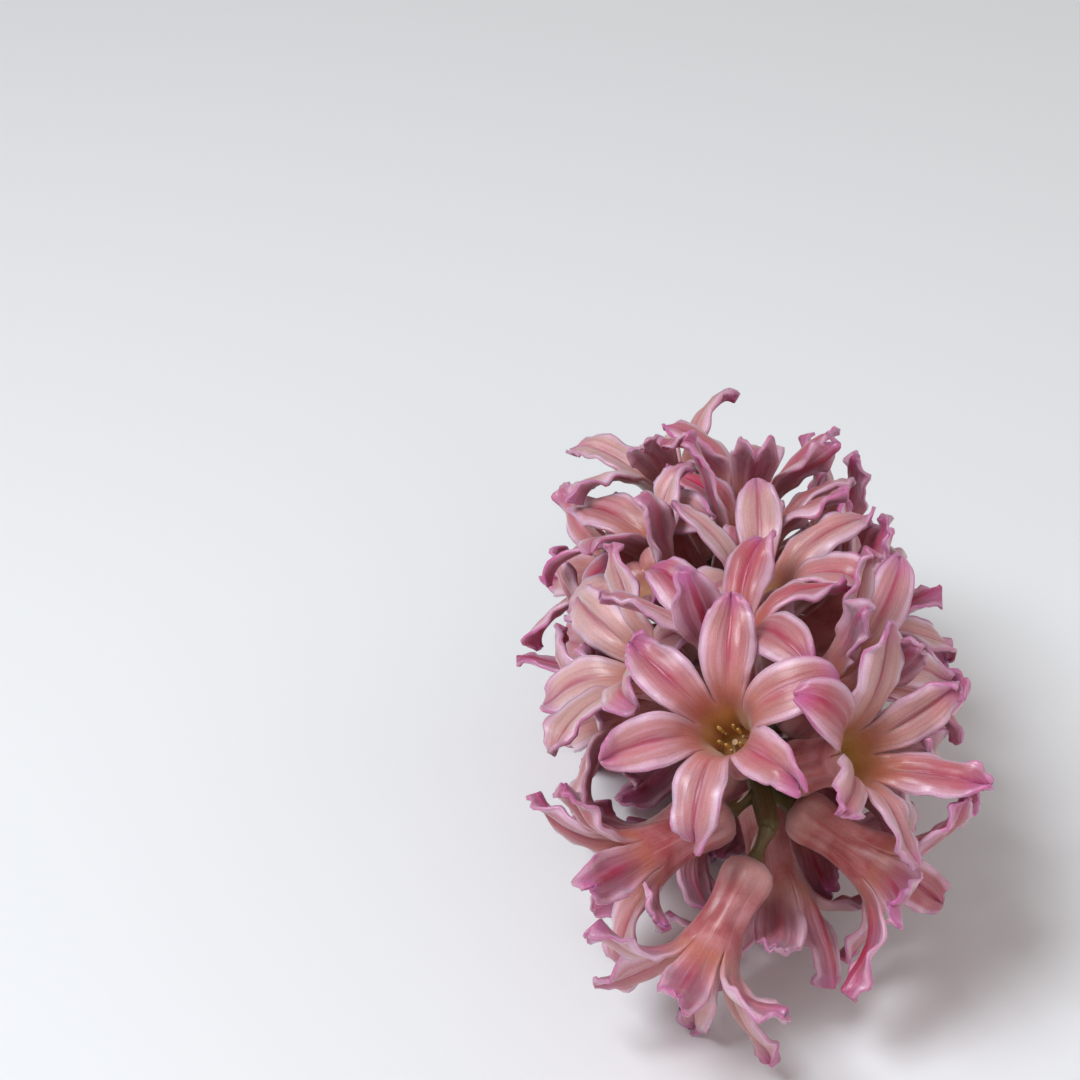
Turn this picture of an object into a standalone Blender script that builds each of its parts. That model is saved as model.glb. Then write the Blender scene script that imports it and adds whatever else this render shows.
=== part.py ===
"""A cut hyacinth flower spike, lying on a surface.

One green stem runs along -Y, from its cut end to its tip, and carries every
floret and a bud on short pedicels. Each floret is one closed solid: a tube with
a swollen base whose rim parts into six tepals that bend outwards. The lowest
tepals are pressed flat where the spike rests, at z = 0.
Sizes are in metres, angles in degrees where a name or a comment says so.
"""

import itertools
import math

import bpy
import numpy as np
from mathutils.bvhtree import BVHTree

# Stem: u runs from 0 at the cut end to 1 at the tip.
STEM_LENGTH = 0.150
STEM_BOW = 0.005
TIP_HEIGHT = 0.0375
STEM_DROP = 0.0332
DROP_POWER = 2.5
STEM_STATIONS = (0.0, 0.36, 0.46, 0.72, 0.90, 1.0)
STEM_RADII = (0.0050, 0.0044, 0.0038, 0.0031, 0.0023, 0.0017)
STEM_SIDES = 10
STEM_RINGS = 20

# Where the florets sit, counted from the tip. One place holds a bud that never opened.
PLACES = 33
BUD_PLACE = 12
TIP_GAP = 0.0100
FLORET_STEP = 0.00236
SHOWN_BEARINGS = {0: -138, 1: -100, 2: 104, 4: -14, 7: 42, 12: 100, 13: 3, 17: -39}
GOLDEN_ANGLE = 137.508
FIRST_BEARING = 40.0
BEARING_JITTER = 7.0
LEAN_DISTANCES = (0.0, 0.010, 0.030, 0.055, 0.084)
LEAN_ANGLES = (52, 66, 82, 92, 99)
LEAN_JITTER = 5.0
SAG = 0.07

# How crowded florets turn away from each other. Those with a bearing above keep it.
BULB_HEIGHT = 0.0030
BULB_SPACING = 0.0094
MOUTH_SPACING = 0.0186
SHOWN_EASE = 0.08
SPREAD_STEPS = 120
SPREAD_RATE = 0.25

# One pedicel and one floret tube. LEVELS are heights above the pedicel.
PEDICEL_REACH = 0.0062
PEDICEL_JITTER = 0.0012
PEDICEL_RADIUS = 0.00105
PEDICEL_SIDES = 5
SEAT_GAP = 0.0003
TUBE_LENGTH = 0.0158
TUBE_LEVELS = (0.0, 0.17, 0.55, 1.0)
TUBE_RADII = (0.0014, 0.0041, 0.0035, 0.0050)
TUBE_RIB = 0.05
TUBE_SIDES = 12
THROAT_FLOOR = 0.0050
WALL = 0.0008

# One tepal. BASE_SPAN is the share of its sixth of the floret that it takes at the rim.
TEPALS = 6
BASE_SPAN = 0.82
TEPAL_LENGTH = 0.0192
TEPAL_WIDTH = 0.0088
TEPAL_ROWS = (0.26, 0.50, 0.72, 0.90)
COLUMNS = 2
RIM_FLARE = 20
END_ANGLES = (56, 114)
CURL_ANGLES = (-45, 82)
TWIST_ANGLES = (-26, 26)
SWAYS = (-0.14, 0.14)
SIZE_SPREAD = 0.08
WHORL_SPLIT = 7

# The bud.
BUD_REACH = 0.0105
BUD_LENGTH = 0.0150
BUD_LEVELS = (0.0, 0.14, 0.40, 0.68, 0.90, 1.0)
BUD_RADII = (0.0012, 0.0026, 0.0031, 0.0026, 0.0016, 0.0004)

# What a tepal may change to come clear of its neighbours, the rows that are
# tried, and the space that it keeps. GUARD is the cone above each floret's rim
# that the tepals of other florets stay out of.
BENDS = (0, 14, -14, 28, -28, 44, -44, 60, -60)
SWAY_STEPS = (0, 0.14, -0.14, 0.28, -0.28, 0.42, -0.42)
TWIST_STEPS = (0, 30, -30, 60, -60)
LENGTHS = (1.0, 0.88, 0.76, 0.64, 0.52)
MOST_TURN = 205
TRIED_ROWS = (0.14, 0.26, 0.38, 0.50, 0.61, 0.72, 0.82, 0.90, 1.0)
BLADE_ROWS = (0.14,) + TEPAL_ROWS
WHOLE_ROWS = (0.0,) + TEPAL_ROWS
MARGIN = 0.00035
REACHED = 0.00095
OWN_REACHED = 0.00076
GUARD_LEVEL = 1.30
GUARD_RADIUS = 0.0080
NEIGHBOURHOOD = 0.055
BATCHES = (0, 16, 120, 600)
REPAIRS = 4

SEED = 5
INTEGRATION_STEPS = 60


def unit(vector):
    """The vector, or each row of an array of vectors, at length one."""
    return vector / np.linalg.norm(vector, axis=-1, keepdims=True)


def stem_point(u):
    """A point on the stem's axis, which bows down towards its cut end."""
    height = TIP_HEIGHT - STEM_DROP * (1 - u) ** DROP_POWER
    return np.array([STEM_BOW * u * u, -STEM_LENGTH * u, height])


def stem_direction(u):
    """The stem's direction at u, towards the tip."""
    rise = STEM_DROP * DROP_POWER * (1 - u) ** (DROP_POWER - 1)
    return unit(np.array([2 * STEM_BOW * u, -STEM_LENGTH, rise]))


def stem_radius(u):
    """The stem's radius at u."""
    return float(np.interp(u, STEM_STATIONS, STEM_RADII))


def direction_at(distance, bearing, lean):
    """Where a floret's pedicel leaves the stem, and the way that it points."""
    u = 1 - distance / STEM_LENGTH
    along = stem_direction(u)
    side = unit(np.cross(along, (0, 0, 1)))
    above = np.cross(side, along)
    around = math.radians(bearing)
    outward = math.cos(around) * above - math.sin(around) * side
    tilt = math.radians(lean)
    axis = math.cos(tilt) * along + math.sin(tilt) * outward
    return stem_point(u), unit(axis - np.array([0, 0, SAG]))


def axes_of(axis, roll):
    """A 3 by 3 matrix whose last row is the axis and whose others are turned by roll."""
    first = unit(np.cross(axis, (0, -1, 0)))
    second = np.cross(axis, first)
    turned = math.cos(roll) * first + math.sin(roll) * second
    return np.array([turned, np.cross(axis, turned), axis])


def spread_out(roots, directions, reach):
    """Turns crowded florets away from each other, as they push one another in growth."""
    ease = np.array([SHOWN_EASE if i in SHOWN_BEARINGS else 1.0 for i in range(len(roots))])
    for _ in range(SPREAD_STEPS):
        shift = np.zeros_like(directions)
        for height, spacing in ((BULB_HEIGHT, BULB_SPACING), (TUBE_LENGTH, MOUTH_SPACING)):
            lever = (reach + height)[:, None]
            points = roots + directions * lever
            between = points[:, None] - points[None]
            distance = np.linalg.norm(between, axis=-1) + np.eye(len(points))
            push = np.clip(spacing / distance - 1, 0, None) * (1 - np.eye(len(points)))
            shift += np.sum(push[..., None] * between, 1) / lever
        directions = unit(directions + SPREAD_RATE * ease[:, None] * shift)
    return directions


def floret_places():
    """Root, axes, pedicel reach and random source of every floret, from the tip down."""
    sources = [np.random.default_rng((SEED, i)) for i in range(PLACES)]
    found, reach, rolls = [], [], []
    for i, rng in enumerate(sources):
        distance = TIP_GAP + (i - 1) * FLORET_STEP if i else 0.0
        turn = rng.uniform(-BEARING_JITTER, BEARING_JITTER)
        bearing = SHOWN_BEARINGS.get(i, FIRST_BEARING + i * GOLDEN_ANGLE + turn)
        lean = np.interp(distance, LEAN_DISTANCES, LEAN_ANGLES)
        lean += rng.uniform(-LEAN_JITTER, LEAN_JITTER) * (i not in SHOWN_BEARINGS)
        rolls.append(math.radians(rng.uniform(0, 360 / TEPALS)))
        reach.append(PEDICEL_REACH + rng.uniform(-PEDICEL_JITTER, PEDICEL_JITTER))
        found.append(direction_at(distance, bearing, lean))
    roots, directions = (np.array(v) for v in zip(*found))
    directions = spread_out(roots, directions, np.array(reach))
    return [
        (root, axes_of(axis, roll), length, rng)
        for root, axis, roll, length, rng in zip(roots, directions, rolls, reach, sources)
    ]


def drawn_shape(rng, tepal):
    """The shape that one tepal would take with nothing in its way."""
    outer = WHORL_SPLIT if tepal % 2 else -WHORL_SPLIT
    return {
        "end": rng.uniform(*END_ANGLES) + outer,
        "curl": rng.uniform(*CURL_ANGLES),
        "twist": rng.uniform(*TWIST_ANGLES),
        "sway": rng.uniform(*SWAYS),
        "length": TEPAL_LENGTH * rng.uniform(1 - SIZE_SPREAD, 1 + SIZE_SPREAD),
        "width": TEPAL_WIDTH * rng.uniform(1 - SIZE_SPREAD, 1 + SIZE_SPREAD),
        "channel": rng.uniform(0.10, 0.32),
    }


def half_outline(s):
    """Half the tepal's width along its length, as a share of its greatest half."""
    early = np.clip(s / 0.5, 0, 1)
    rising = 0.60 + 0.40 * early * early * (3 - 2 * early)
    falling = np.clip(1 - (np.clip(s - 0.5, 0, 1) / 0.5) ** 2.3, 0, 1) ** 0.62
    return rising * falling


def tepal_points(shape, tepal, along, across):
    """Points of a tepal's middle surface in the floret's own axes.

    along holds values from 0 at the rim to 1 at the tip, and across from -1 to
    1 between the edges. The result is one row of points for each along. Where
    the shape's values are arrays, it has one such set for each of their items.
    """
    end, curl, twist, sway, length, width, channel = (
        np.asarray(shape[name], float)[..., None]
        for name in ("end", "curl", "twist", "sway", "length", "width", "channel")
    )
    s = np.linspace(0, 1, INTEGRATION_STEPS)
    bend = 1 - (1 - np.clip((s - 0.06) / 0.94, 0, 1)) ** 1.7
    hook = np.clip((s - 0.70) / 0.30, 0, 1) ** 1.4
    slope = np.radians(RIM_FLARE + (end - RIM_FLARE) * bend + curl * hook)
    middle = (slope[..., 1:] + slope[..., :-1]) / 2
    step = length / (INTEGRATION_STEPS - 1)
    start = np.zeros_like(slope[..., :1])
    out = np.concatenate([start, np.cumsum(np.sin(middle) * step, -1)], -1) + TUBE_RADII[-1]
    up = np.concatenate([start, np.cumsum(np.cos(middle) * step, -1)], -1) + TUBE_LENGTH
    along = np.asarray(along, float)
    low = np.minimum((along * (INTEGRATION_STEPS - 1)).astype(int), INTEGRATION_STEPS - 2)
    part = along * (INTEGRATION_STEPS - 1) - low
    out, up, slope = (v[..., low] + (v[..., low + 1] - v[..., low]) * part for v in (out, up, slope))
    centre = math.radians(360 / TEPALS * (tepal + 0.5))
    radial = np.array([math.cos(centre), math.sin(centre), 0])
    tangential = np.array([-math.sin(centre), math.cos(centre), 0])
    axis = np.array([0, 0, 1])
    drift = sway * length * along ** 2
    line = out[..., None] * radial + drift[..., None] * tangential + up[..., None] * axis
    run = np.sin(slope)[..., None] * radial + np.cos(slope)[..., None] * axis
    run = unit(run + (2 * sway * along)[..., None] * tangential)
    flat = unit(tangential - np.sum(run * tangential, -1, keepdims=True) * run)
    turn = (np.radians(twist) * along)[..., None]
    wide = np.cos(turn) * flat + np.sin(turn) * np.cross(run, flat)
    inner = np.cross(run, wide)
    across = np.asarray(across, float)
    sector = out * math.tan(math.pi / TEPALS) * BASE_SPAN
    half = np.minimum(width / 2 * half_outline(along), sector)
    lift = (channel * (1 - 1.5 * along) * half)[..., None] * across ** 2
    aside = half[..., None] * across
    free = aside[..., None] * wide[..., None, :] + lift[..., None] * inner[..., None, :]
    free = line[..., None, :] + free
    angle = centre + across * math.pi / TEPALS * BASE_SPAN
    ring = out[..., None] + 0 * across
    cone = np.stack([ring * np.cos(angle), ring * np.sin(angle), up[..., None] + 0 * ring], -1)
    hold = np.clip(1 - along / 0.3, 0, 1)[:, None, None] ** 2
    return hold * cone + (1 - hold) * free


def tube_points():
    """Rings of the tube's middle surface in the floret's own axes, base first, without its rim."""
    turn = (np.arange(TUBE_SIDES) + 1) / TUBE_SIDES * 2 * np.pi
    rib = 1 - TUBE_RIB * np.cos(TEPALS * turn)
    rings = []
    for level, radius in zip(TUBE_LEVELS[:-1], TUBE_RADII):
        r = radius * (rib if level > 0 else np.ones_like(rib))
        rings.append(np.stack([r * np.cos(turn), r * np.sin(turn), 0 * turn + level * TUBE_LENGTH], 1))
    return np.array(rings)


def rim_points():
    """The tube's rim: three points under each tepal, with a gap to the next tepal's."""
    across = np.linspace(-1, 1, COLUMNS + 1) * BASE_SPAN * math.pi / TEPALS
    turn = np.concatenate([(t + 0.5) / TEPALS * 2 * np.pi + across for t in range(TEPALS)])
    radius = TUBE_RADII[-1]
    return np.stack([radius * np.cos(turn), radius * np.sin(turn), 0 * turn + TUBE_LENGTH], 1)


def to_world(points, place):
    """Floret axes to world, with what would go below the surface pressed flat on it."""
    root, axes, reach, _ = place
    world = points.reshape(-1, 3) @ axes + root + axes[2] * reach
    pressed = world[:, 2] < WALL / 2
    world[pressed, 2] = WALL / 2
    return world, pressed


def normals_of(points, faces):
    """The outward normal at each point, from the faces round it."""
    corners = points[faces]
    face = np.cross(corners[:, 1] - corners[:, 0], corners[:, 2] - corners[:, 0])
    total = np.zeros_like(points)
    for corner in range(3):
        np.add.at(total, faces[:, corner], face)
    size = np.linalg.norm(total, axis=1, keepdims=True)
    return total / np.where(size > 0, size, 1)


def strip_faces(lower, upper):
    """Triangles between two rows of point numbers of equal length."""
    faces = []
    for a, b, c, d in zip(lower, lower[1:], upper[1:], upper):
        faces += [(a, b, c), (a, c, d)]
    return faces


def rim_faces(ring, rim):
    """Triangles from the tube's last ring to its rim, which has three points for every two."""
    faces = []
    for t in range(TEPALS):
        middle, corner = ring[2 * t], ring[2 * t + 1]
        following = ring[(2 * t + 2) % len(ring)]
        centre, right = rim[3 * t + 1], rim[3 * t + 2]
        left, ahead = rim[(3 * t + 3) % len(rim)], rim[(3 * t + 4) % len(rim)]
        faces += [(middle, corner, right), (middle, right, centre), (corner, left, right)]
        faces += [(corner, following, left), (following, ahead, left)]
    return faces


def tepal_rows(tepal, first, rim):
    """Point numbers of a tepal's rows, its rim row first, and its tip's number."""
    rows = [rim[tepal * (COLUMNS + 1):(tepal + 1) * (COLUMNS + 1)]]
    for row in range(len(TEPAL_ROWS)):
        rows.append([first + row * (COLUMNS + 1) + c for c in range(COLUMNS + 1)])
    return rows, first + len(TEPAL_ROWS) * (COLUMNS + 1)


def tepal_faces(rows, tip):
    """Triangles of one tepal, facing the outside of the floret."""
    faces = []
    for lower, upper in zip(rows, rows[1:]):
        faces += strip_faces(lower, upper)
    return faces + [(a, b, tip) for a, b in zip(rows[-1], rows[-1][1:])]


def closed_shell(middle, pressed, outer, inner, wall, floor=None):
    """A closed solid round a middle surface.

    outer holds the triangles of the outside, and inner those of the inside,
    turned the same way. The open edges of outer are walled over. floor is the
    point that closes the inside, where inner has a hole.
    """
    outer, inner = np.array(outer), np.array(inner)
    normal = normals_of(middle, outer)
    normal[pressed] = np.sign(normal[pressed][:, 2:]) * np.array([0, 0, 1])
    count = len(middle)
    points = [middle + normal * wall / 2, middle - normal * wall / 2]
    faces = [outer, inner[:, ::-1] + count]
    sides, floor_faces = [], []
    for surface, rim in ((outer, sides), (inner, floor_faces)):
        ends = np.concatenate([surface[:, [0, 1]], surface[:, [1, 2]], surface[:, [2, 0]]])
        held = set(map(tuple, ends.tolist()))
        rim += [e for e in map(tuple, ends.tolist()) if e[::-1] not in held]
    for a, b in sides:
        faces.append(np.array([(b, a, a + count), (b, a + count, b + count)]))
    if floor is not None:
        points.append(floor[None])
        loop = sorted(set(floor_faces) - set(sides))
        faces.append(np.array([(a + count, b + count, 2 * count) for a, b in loop]))
    return np.concatenate(points), np.concatenate(faces)


def floret_solid(place, shapes):
    """Points and triangles of one floret with the given tepal shapes."""
    rings = tube_points()
    ring = np.arange(rings[..., 0].size).reshape(len(rings), -1).tolist()
    parts = [rings.reshape(-1, 3), rim_points()]
    first = len(parts[0]) + len(parts[1])
    rim = list(range(len(parts[0]), first))
    cap = [(ring[0][0], ring[0][c + 1], ring[0][c]) for c in range(1, TUBE_SIDES - 1)]
    wall = []
    for low, high in zip(ring, ring[1:]):
        wall += strip_faces(low + low[:1], high + high[:1])
    mouth = rim_faces(ring[-1], rim)
    tepals = []
    across = np.linspace(-1, 1, COLUMNS + 1)
    for tepal, shape in enumerate(shapes):
        rows, tip = tepal_rows(tepal, first, rim)
        tepals += tepal_faces(rows, tip)
        parts += [tepal_points(shape, tepal, TEPAL_ROWS, across).reshape(-1, 3)]
        parts += [tepal_points(shape, tepal, [1], [0]).reshape(-1, 3)]
        first = tip + 1
    middle, pressed = to_world(np.concatenate(parts), place)
    floor, _ = to_world(np.array([0, 0, THROAT_FLOOR]), place)
    return closed_shell(middle, pressed, cap + wall + mouth + tepals, mouth + tepals, WALL, floor[0])


def blade(place, shape, tepal, wall, rows_at):
    """One tepal by itself, with rows at these shares of its length, as a closed solid."""
    across = np.linspace(-1, 1, COLUMNS + 1)
    points = tepal_points(shape, tepal, rows_at, across).reshape(-1, 3)
    tip = tepal_points(shape, tepal, [1], [0]).reshape(-1, 3)
    middle, pressed = to_world(np.concatenate([points, tip]), place)
    rows = np.arange(len(points)).reshape(-1, COLUMNS + 1).tolist()
    faces = tepal_faces(rows, len(points))
    return closed_shell(middle, pressed, faces, faces, wall)


def tube_solid(place, levels, radii, length, spread=0.0):
    """A closed round body along a floret's axis, with rings of the given radii."""
    turn = np.arange(TUBE_SIDES) / TUBE_SIDES * 2 * np.pi
    rib = 1 - TUBE_RIB * np.cos(TEPALS * turn)
    circle = np.stack([rib * np.cos(turn), rib * np.sin(turn), 0 * turn], 1)
    rings = [circle * (r + spread) + (0, 0, z * length) for z, r in zip(levels, radii)]
    points, _ = to_world(np.array(rings), place)
    return points, ring_faces(len(rings), TUBE_SIDES)


def ring_faces(rings, columns):
    """Triangles of a closed stack of rings, capped at both ends."""
    number = [[r * columns + c for c in range(columns)] for r in range(rings)]
    faces = []
    for lower, upper in zip(number, number[1:]):
        faces += strip_faces(lower + lower[:1], upper + upper[:1])
    last = number[-1]
    faces += [(0, c + 1, c) for c in range(1, columns - 1)]
    faces += [(last[0], last[c], last[c + 1]) for c in range(1, columns - 1)]
    return np.array(faces)


def stem_solid():
    """The stem without its pedicels: rings that follow the axis, resting on the rim of its cut."""
    turn = np.arange(STEM_SIDES) / STEM_SIDES * 2 * np.pi
    points = []
    for u in np.linspace(0, 1, STEM_RINGS):
        along = stem_direction(u)
        side = unit(np.cross(along, (0, 0, 1)))
        above = np.cross(side, along)
        circle = np.outer(np.cos(turn), above) - np.outer(np.sin(turn), side)
        points.append(stem_point(u) + circle * stem_radius(u))
    points = np.concatenate(points)
    points[:, 2] = np.maximum(points[:, 2], 0)
    return points, ring_faces(STEM_RINGS, STEM_SIDES)


def pedicel_solid(place):
    """A short green stalk from inside the stem to just short of its floret."""
    root, axes, reach, _ = place
    turn = np.arange(PEDICEL_SIDES) / PEDICEL_SIDES * 2 * np.pi
    circle = np.outer(np.cos(turn), axes[0]) + np.outer(np.sin(turn), axes[1])
    end = reach - WALL / 2 - SEAT_GAP
    rings = [root + circle * PEDICEL_RADIUS, root + circle * PEDICEL_RADIUS + axes[2] * end]
    return np.concatenate(rings), ring_faces(2, PEDICEL_SIDES)


def tree_of(solids):
    """One search tree over the triangles of several solids."""
    points = np.concatenate([p for p, _ in solids])
    offsets = np.cumsum([0] + [len(p) for p, _ in solids[:-1]])
    faces = np.concatenate([f + o for (_, f), o in zip(solids, offsets)])
    return BVHTree.FromPolygons(points.tolist(), faces.tolist())


def all_changes():
    """Every way to change a tepal as an array of rows, the slightest first."""
    options = np.array(list(itertools.product(LENGTHS, BENDS, SWAY_STEPS, TWIST_STEPS)))
    shorter, bend, sway, twist = (1 - options[:, 0]), *np.abs(options[:, 1:].T)
    effort = shorter * 3.2 + bend / 60 + sway / 0.32 + twist / 60
    return options[np.argsort(effort, kind="stable")]


def changed(shape, changes):
    """A tepal's shape after each of the changes, as arrays."""
    length, bend, sway, twist = changes.T
    end = shape["end"] + bend
    return {
        "end": end,
        "curl": np.minimum(shape["curl"], MOST_TURN - end),
        "twist": shape["twist"] + twist,
        "sway": shape["sway"] + sway,
        "length": shape["length"] * length,
        "width": np.full(len(changes), shape["width"]),
        "channel": np.full(len(changes), shape["channel"]),
    }


def touches(points, around, own, most):
    """How many of a tepal's points are too near to something, counted up to most."""
    count = 0
    for number, point in enumerate(points):
        near = around.find_nearest(point, REACHED)[0]
        if near is None and number > COLUMNS:
            near = own.find_nearest(point, OWN_REACHED)[0]
        count += near is not None
        if count >= most:
            break
    return count


def faults(place, shape, tepal, around, tube, own):
    """How often a tepal of this shape would meet its surroundings, its floret or itself."""
    wide = blade(place, shape, tepal, WALL + 2 * MARGIN, BLADE_ROWS)
    count = len(tree_of([wide]).overlap(around))
    if count:
        return count
    points, faces = blade(place, shape, tepal, WALL + MARGIN, TEPAL_ROWS)
    free = tree_of([(points, faces)])
    corners = [set(face) for face in faces.tolist()]
    folds = sum(1 for a, b in free.overlap(free) if not corners[a] & corners[b])
    return len(free.overlap(tube)) + len(free.overlap(own)) + folds


def best_shape(place, drawn, tepal, around, tube, own, changes):
    """The least changed shape that comes clear, or else the one that touches least."""
    best, fewest = None, math.inf
    for first, last in zip(BATCHES, BATCHES[1:] + (len(changes),)):
        batch = changed(drawn, changes[first:last])
        points = tepal_points(batch, tepal, TRIED_ROWS, (-1, 0, 1))
        cloud = to_world(points, place)[0].reshape(last - first, -1, 3)[:, :-2].tolist()
        for number, tried in enumerate(cloud):
            count = touches(tried, around, own, fewest)
            if count >= fewest:
                continue
            shape = {name: values[number] for name, values in batch.items()}
            if count == 0:
                count = faults(place, shape, tepal, around, tube, own)
            if count < fewest:
                best, fewest = shape, count
            if fewest == 0:
                return best, 0
    return best, fewest


def clear_shapes(places, tubes, stalks):
    """Shapes for every tepal of every floret, each bent clear of what stands round it."""
    levels, radii = TUBE_LEVELS + (GUARD_LEVEL,), TUBE_RADII + (GUARD_RADIUS,)
    guards = [tube_solid(p, levels, radii, TUBE_LENGTH, WALL / 2) for p in places]
    mouths = np.array([root + axes[2] * (reach + TUBE_LENGTH) for root, axes, reach, _ in places])
    apart = np.linalg.norm(mouths[:, None] - mouths[None], axis=-1)
    near = [np.flatnonzero(row < NEIGHBOURHOOD).tolist() for row in apart + np.eye(len(places))]
    drawn = {(i, t): drawn_shape(place[3], t) for i, place in enumerate(places) for t in range(TEPALS)}
    changes = all_changes()
    shapes, solids, own, bad = {}, {}, {}, []

    def surroundings(i):
        blades = [solids[j, t] for j in near[i] for t in range(TEPALS) if (j, t) in solids]
        return tree_of([guards[j] for j in near[i]] + stalks + blades)

    def settle(key, around):
        i, tepal = key
        beside = [own[i, t] for t in range(TEPALS) if t != tepal and (i, t) in own]
        beside, tube = tree_of(beside or [tubes[i]]), tree_of([tubes[i]])
        found = best_shape(places[i], drawn[key], tepal, around, tube, beside, changes)
        shapes[key], count = found
        solids[key] = blade(places[i], shapes[key], tepal, WALL, BLADE_ROWS)
        own[key] = blade(places[i], shapes[key], tepal, WALL, WHOLE_ROWS)
        return count

    for i in range(len(places)):
        around = surroundings(i)
        bad += [(i, t) for t in range(TEPALS) if settle((i, t), around)]
    for _ in range(REPAIRS):
        still = []
        for i, tepal in bad:
            wide = blade(places[i], shapes[i, tepal], tepal, WALL + 2 * MARGIN, BLADE_ROWS)
            wide = tree_of([wide])
            rivals = [k for k in solids if k[0] in near[i] and wide.overlap(tree_of([solids[k]]))]
            still += [k for k in rivals if settle(k, surroundings(k[0]))]
            still += [(i, tepal)] if settle((i, tepal), surroundings(i)) else []
        bad = list(dict.fromkeys(still))
    return [[shapes[i, t] for t in range(TEPALS)] for i in range(len(places))]


def material(name, colour, roughness):
    """A plain Principled finish."""
    made = bpy.data.materials.new(name)
    made.use_nodes = True
    shader = made.node_tree.nodes["Principled BSDF"]
    shader.inputs["Base Color"].default_value = (*colour, 1)
    shader.inputs["Roughness"].default_value = roughness
    shader.inputs["Metallic"].default_value = 0.0
    return made


def add_node(name, solid, finish, parent):
    """One named mesh object."""
    points, faces = solid
    mesh = bpy.data.meshes.new(name)
    mesh.from_pydata(points.tolist(), [], faces.tolist())
    mesh.materials.append(finish)
    mesh.shade_smooth()
    mesh.set_sharp_from_angle(angle=math.radians(50))
    made = bpy.data.objects.new(name, mesh)
    made.parent = parent
    bpy.context.scene.collection.objects.link(made)
    return made


def join_pedicels(stem, places, finish, parent):
    """Joins every pedicel to the stem with one Boolean union."""
    group = bpy.data.collections.new("pedicels")
    bpy.context.scene.collection.children.link(group)
    for i, place in enumerate(places):
        stalk = add_node(f"pedicel_{i:02d}", pedicel_solid(place), finish, parent)
        bpy.context.scene.collection.objects.unlink(stalk)
        group.objects.link(stalk)
    union = stem.modifiers.new("join", "BOOLEAN")
    union.operand_type = "COLLECTION"
    union.collection = group
    union.operation = "UNION"
    union.solver = "EXACT"
    joined = bpy.data.meshes.new_from_object(stem.evaluated_get(bpy.context.evaluated_depsgraph_get()))
    stem.modifiers.clear()
    stem.data = joined
    for stalk in list(group.objects):
        bpy.data.objects.remove(stalk)
    bpy.data.collections.remove(group)


def main():
    """Builds the spike, with its bounding box centred over the origin."""
    for old in list(bpy.data.objects):
        bpy.data.objects.remove(old)
    petal = material("petal", (0.80, 0.42, 0.42), 0.45)
    green = material("stem_green", (0.20, 0.24, 0.08), 0.5)
    bud_green = material("bud_green", (0.42, 0.44, 0.16), 0.5)
    places = floret_places()
    root, axes, _, rng = places.pop(BUD_PLACE)
    bud_place = (root, axes, BUD_REACH, rng)
    tubes = [tube_solid(p, TUBE_LEVELS, TUBE_RADII, TUBE_LENGTH, WALL / 2) for p in places]
    bud = tube_solid(bud_place, BUD_LEVELS, BUD_RADII, BUD_LENGTH)
    stem = stem_solid()
    stalks = [stem, bud] + [pedicel_solid(p) for p in places + [bud_place]]
    shapes = clear_shapes(places, tubes, stalks)
    florets = [floret_solid(p, s) for p, s in zip(places, shapes)]
    cloud = np.concatenate([p for p, _ in florets + [stem]])
    middle = (cloud.min(0) + cloud.max(0)) / 2
    spike = bpy.data.objects.new("spike", None)
    spike.location = (-middle[0], -middle[1], 0)
    bpy.context.scene.collection.objects.link(spike)
    for i, solid in enumerate(florets):
        add_node(f"floret_{i + 1:02d}", solid, petal, spike)
    add_node("bud", bud, bud_green, spike)
    join_pedicels(add_node("stem", stem, green, spike), places + [bud_place], green, spike)


main()
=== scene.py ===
"""The looks of a cut hyacinth spike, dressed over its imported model.

Every floret is grown again from the same rules as the model's, with the same
random source, and then given many more points: a smooth swollen tube, six
fleshy tepals with a groove along the middle and crinkled edges, stamens in the
throat, and a bract under each pedicel. Sizes are in metres.
"""

import itertools
import logging
import math
from collections.abc import Iterable, Sequence
from dataclasses import dataclass, field, replace
from enum import Enum
from typing import Any

import bpy
import numpy as np
from bpy.types import Material, Node, NodeSocket, NodeTree, Object
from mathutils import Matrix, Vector
from mathutils.bvhtree import BVHTree

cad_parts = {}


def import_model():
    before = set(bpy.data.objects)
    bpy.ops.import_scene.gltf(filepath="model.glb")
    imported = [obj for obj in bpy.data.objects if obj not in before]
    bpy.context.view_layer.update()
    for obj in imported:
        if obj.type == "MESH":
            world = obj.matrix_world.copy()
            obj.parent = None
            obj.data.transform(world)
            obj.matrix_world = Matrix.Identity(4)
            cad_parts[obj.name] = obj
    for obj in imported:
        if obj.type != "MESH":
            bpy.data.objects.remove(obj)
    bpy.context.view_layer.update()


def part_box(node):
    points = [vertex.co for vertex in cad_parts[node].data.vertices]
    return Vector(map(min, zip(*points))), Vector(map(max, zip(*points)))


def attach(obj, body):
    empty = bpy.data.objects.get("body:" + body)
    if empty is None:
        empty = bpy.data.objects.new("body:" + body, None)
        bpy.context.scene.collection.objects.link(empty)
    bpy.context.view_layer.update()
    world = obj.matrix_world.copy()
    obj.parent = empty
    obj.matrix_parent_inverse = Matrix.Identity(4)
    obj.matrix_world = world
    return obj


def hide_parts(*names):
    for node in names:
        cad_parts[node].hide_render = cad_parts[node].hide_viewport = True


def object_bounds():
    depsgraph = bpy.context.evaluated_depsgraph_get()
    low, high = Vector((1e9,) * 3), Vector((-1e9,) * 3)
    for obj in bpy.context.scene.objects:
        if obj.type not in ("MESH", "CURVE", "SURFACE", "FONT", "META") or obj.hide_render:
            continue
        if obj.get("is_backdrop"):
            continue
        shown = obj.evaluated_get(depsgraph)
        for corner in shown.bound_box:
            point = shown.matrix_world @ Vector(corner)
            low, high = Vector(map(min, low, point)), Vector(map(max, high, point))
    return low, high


Pair = tuple[float, float]
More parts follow.
